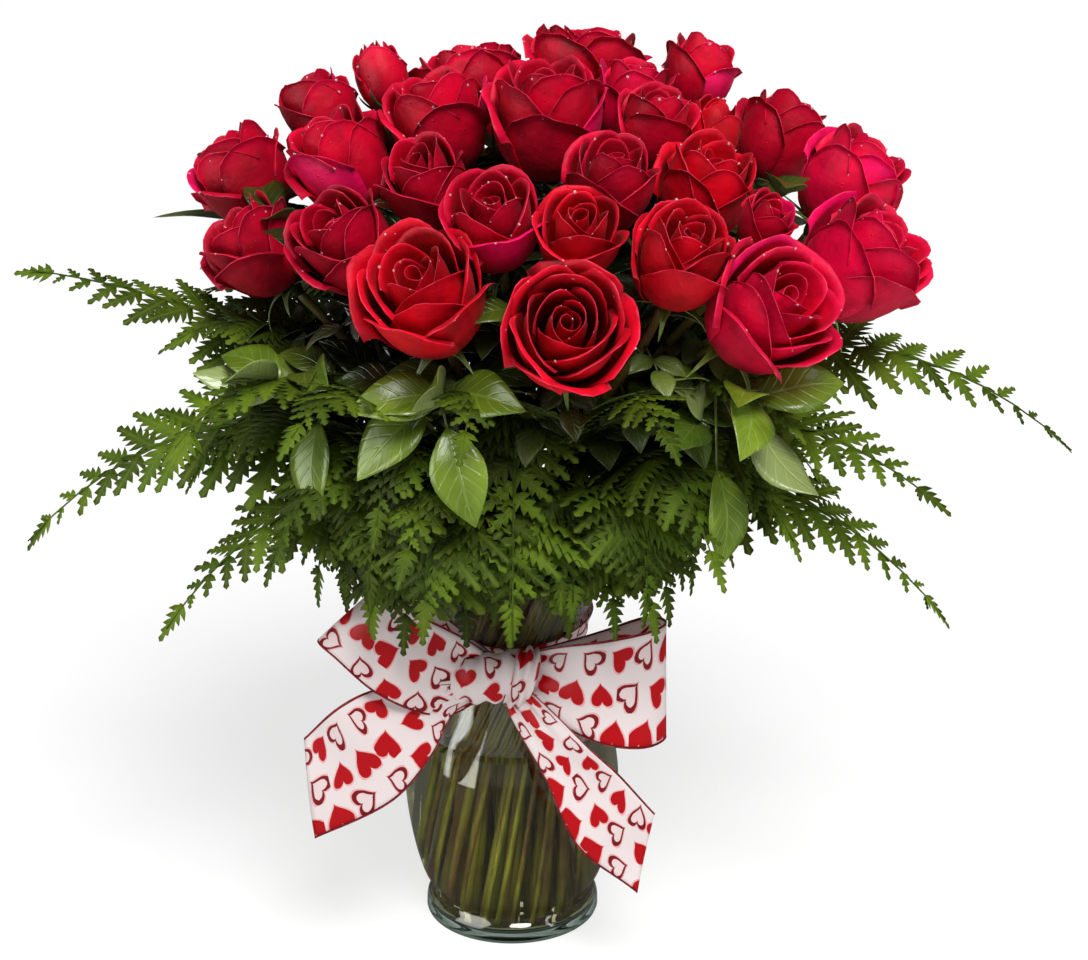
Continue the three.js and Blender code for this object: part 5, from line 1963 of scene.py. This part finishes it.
class Greens:
    """The fern fronds and leafy stems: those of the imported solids, and more that fill the ruff."""

    def __init__(self, seed: int = 41) -> None:
        """Starts the greens' own random numbers."""
        self.chance = seeded(seed)

    def build(self, finishes: Finishes) -> None:
        """Makes every frond and leafy stem."""
        stalks: list[Surface] = []
        for number, (name, plan) in enumerate(FRONDS.items()):
            frond = Frond(plan, FROND_SEED + number, 13)
            stalks.append(frond.build(f"fern_{name}", finishes, f"fern_frond_{name}"))
        for number, plan in enumerate(self.filling_fronds()):
            frond = Frond(plan, FILLING_SEED + number, 11)
            stalks.append(frond.build(f"fern_fill_{number + 1:02d}", finishes))
        for name, (azimuth, arch, end, leaves) in LEAFY_STEMS.items():
            stalk, leafy = LeafyStem(azimuth, np.array(arch), np.array(end), leaves).surfaces(self.chance)
            stalks.append(stalk)
            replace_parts(mesh_piece(f"leafy_{name}", leafy, finishes.leaf), f"leafy_stem_{name}")
        for number, stem in enumerate(self.filling_stems()):
            stalk, leafy = stem.surfaces(self.chance)
            stalks.append(stalk)
            finish = finishes.dark_leaf if number % 3 else finishes.leaf
            mesh_piece(f"leafy_fill_{number + 1:02d}", leafy, finish)
        mesh_piece("green_stalks", Surface.joined(stalks), finishes.stalk)

    def filling_fronds(self) -> list[FrondPlan]:
        """Shorter fronds in tiers between the long ones, and a skirt of them over the mouth's front.

        Each row gives a tier's count, first azimuth, step, reach, tip, arch, outward share, the share
        where the blade starts, and its width.
        """
        tiers = (
            (14, 8, 360 / 14, 196, 352, 404, 0.68, 0.38, 50),
            (14, 20, 360 / 14, 172, 284, 358, 0.7, 0.38, 52),
            (8, 60, 360 / 8, 128, 250, 342, 0.82, 0.38, 46),
            (9, 208, 15.2, 112, 234, 314, 0.98, 0.54, 62),
            (7, 216, 18, 140, 254, 346, 0.92, 0.48, 62),
            (2, 224, 20, 158, 296, 368, 0.85, 0.4, 52),
            (2, 306, 20, 158, 296, 368, 0.85, 0.4, 52),
        )
        plans = []
        for count, first, step, reach, tip, arch, out, start, width in tiers:
            for k in range(count):
                a, b, c, d = self.chance.uniform(-1, 1, 4)
                azimuth = first + step * k + 5 * a
                if hollow(azimuth % 360, arch):
                    continue
                plans.append(FrondPlan(
                    azimuth, reach * (1 + 0.1 * b), tip + 14 * c, arch + 10 * d,
                    out, start, width * (1 + 0.08 * b), 14 * a, True,
                ))
        return plans

    def filling_stems(self) -> list[LeafyStem]:
        """Leafy stems round the bouquet under the blooms, in tiers, and those of the gaps.

        Each row gives a tier's count, first azimuth, and the reach and height of its arch and end.
        """
        stems = []
        for count, first, near, far, arch_height, end_height in (
            (11, 20, 70, 142, 372, 356), (10, 4, 62, 108, 384, 408), (11, 12, 36, 78, 400, 440),
            (12, 10, 80, 132, 408, 428), (6, 40, 16, 46, 420, 462),
        ):
            for k in range(count):
                a, b, c = self.chance.uniform(-1, 1, 3)
                azimuth = first + 360 * k / count + 8 * a
                if hollow(azimuth % 360, arch_height):
                    continue
                flat = on_circle(1, azimuth)
                arch = np.array([*(flat * (near + 10 * b)), arch_height + 8 * c])
                end = np.array([*(flat * (far + 16 * b)), end_height + 16 * c])
                stems.append(LeafyStem(azimuth, arch, end, leaning=True))
        for azimuth, arch, end in GAP_STEMS:
            stems.append(LeafyStem(azimuth, np.array(arch), np.array(end), leaning=True))
        return stems


@dataclass
class Studio:
    """The pale floor, the lamps and the camera."""

    camera_place: Place = (0.019, -1.6, 0.896)
    camera_tilt: float = 68.7
    lens: float = 100.0
    sensor: float = 36.0
    floor_half: float = 12.0
    sun_way: Place = (0.22, -0.85, 1.2)
    sun_width: float = 26.0
    sun_strength: float = 3.3
    lamp_aim: Place = (0.0, 0.0, 0.15)

    def floor(self) -> None:
        """A wide pale floor under the vase."""
        mesh = bpy.data.meshes.new("floor")
        half = self.floor_half
        corners = [(-half, -half, 0), (half, -half, 0), (half, half, 0), (-half, half, 0)]
        mesh.from_pydata(corners, [], [(0, 1, 2, 3)])
        made = Finish("pale_floor", Roughness=0.9, Emission_Color=(1.0, 1.0, 1.0))
        mirrored = made.nodes.add("LightPath").outputs["Is Glossy Ray"]
        made.set("Base Color", made.nodes.blend(mirrored, (0.3, 0.3, 0.3), (0.03, 0.03, 0.03)))
        made.set("Emission Strength", made.nodes.linear(mirrored, -0.62, 0.7))
        mesh.materials.append(made.material)
        floor = placed("floor", mesh)
        floor.location.z = -0.0002

    def light(self, name: str, place: Vector, way: Vector, kind: str, **settings: object) -> bpy.types.Object:
        """A light at a place that shines against a direction, with its kind's own settings."""
        data = bpy.data.lights.new(name, kind)
        for key, value in settings.items():
            setattr(data, key, value)
        made = placed(name, data)
        made.location = place
        made.rotation_euler = way.to_track_quat("Z", "Y").to_euler()
        return made

    def lights(self) -> None:
        """A wide soft sun, and two rectangular lamps that are only seen in reflections."""
        way = Vector(self.sun_way)
        angle = radians(self.sun_width)
        self.light("key", way.normalized() * 3, way, "SUN", angle=angle, energy=self.sun_strength)
        for name, place, width, height, power in (
            ("window", (-1.12, -0.72, 0.5), 1.0, 1.7, 30.0), ("strip", (0.95, -0.75, 0.45), 0.12, 1.2, 2.5),
        ):
            way = Vector(place) - Vector(self.lamp_aim)
            lamp = self.light(
                name, Vector(place), way, "AREA", shape="RECTANGLE", size=width, size_y=height, energy=power
            )
            lamp.visible_diffuse = False

    def world(self) -> None:
        """White all round: full to the eye and through glass, softer as light, faint in reflections."""
        world = bpy.data.worlds.new("studio")
        world.use_nodes = True
        bpy.context.scene.world = world
        nodes = Nodes(world.node_tree)
        back = world.node_tree.nodes["Background"]
        path = nodes.add("LightPath").outputs
        seen = nodes.math("MAXIMUM", path["Is Camera Ray"], path["Is Transmission Ray"])
        nodes.feed(back.inputs["Color"], (1.0, 1.0, 1.0))
        direct = nodes.math("LESS_THAN", path["Diffuse Depth"], 0.5)
        soft = nodes.linear(path["Is Glossy Ray"], -0.18, 0.24)
        nodes.feed(back.inputs["Strength"], nodes.math("MAXIMUM", nodes.times(seen, direct), soft))

    def build(self) -> None:
        """Sets up the floor, light and camera."""
        self.floor()
        self.world()
        self.lights()
        data = bpy.data.cameras.new("camera")
        data.lens = self.lens
        data.sensor_width = self.sensor
        camera = placed("camera", data)
        camera.location = self.camera_place
        camera.rotation_euler = (radians(self.camera_tilt), 0, 0)
        scene = bpy.context.scene
        scene.camera = camera
        scene.view_settings.view_transform = "Standard"
        scene.cycles.max_bounces = 16
        scene.cycles.glossy_bounces = 12
        scene.cycles.transmission_bounces = 12
        scene.cycles.transparent_max_bounces = 16


def main() -> None:
    """Builds the studio, the vase, the roses, the greens and the ribbon."""
    logging.basicConfig(level=logging.INFO, format="%(name)s %(message)s")
    Studio().build()
    finishes = Finishes()
    Vase().build(finishes)
    number = 1
    for name, rows in ROSES.items():
        RoseBundle(name, number, rows).build(finishes)
        number += len(rows)
    Greens().build(finishes)
    Ribbon().build(finishes)


if __name__ == "__main__":
    main()
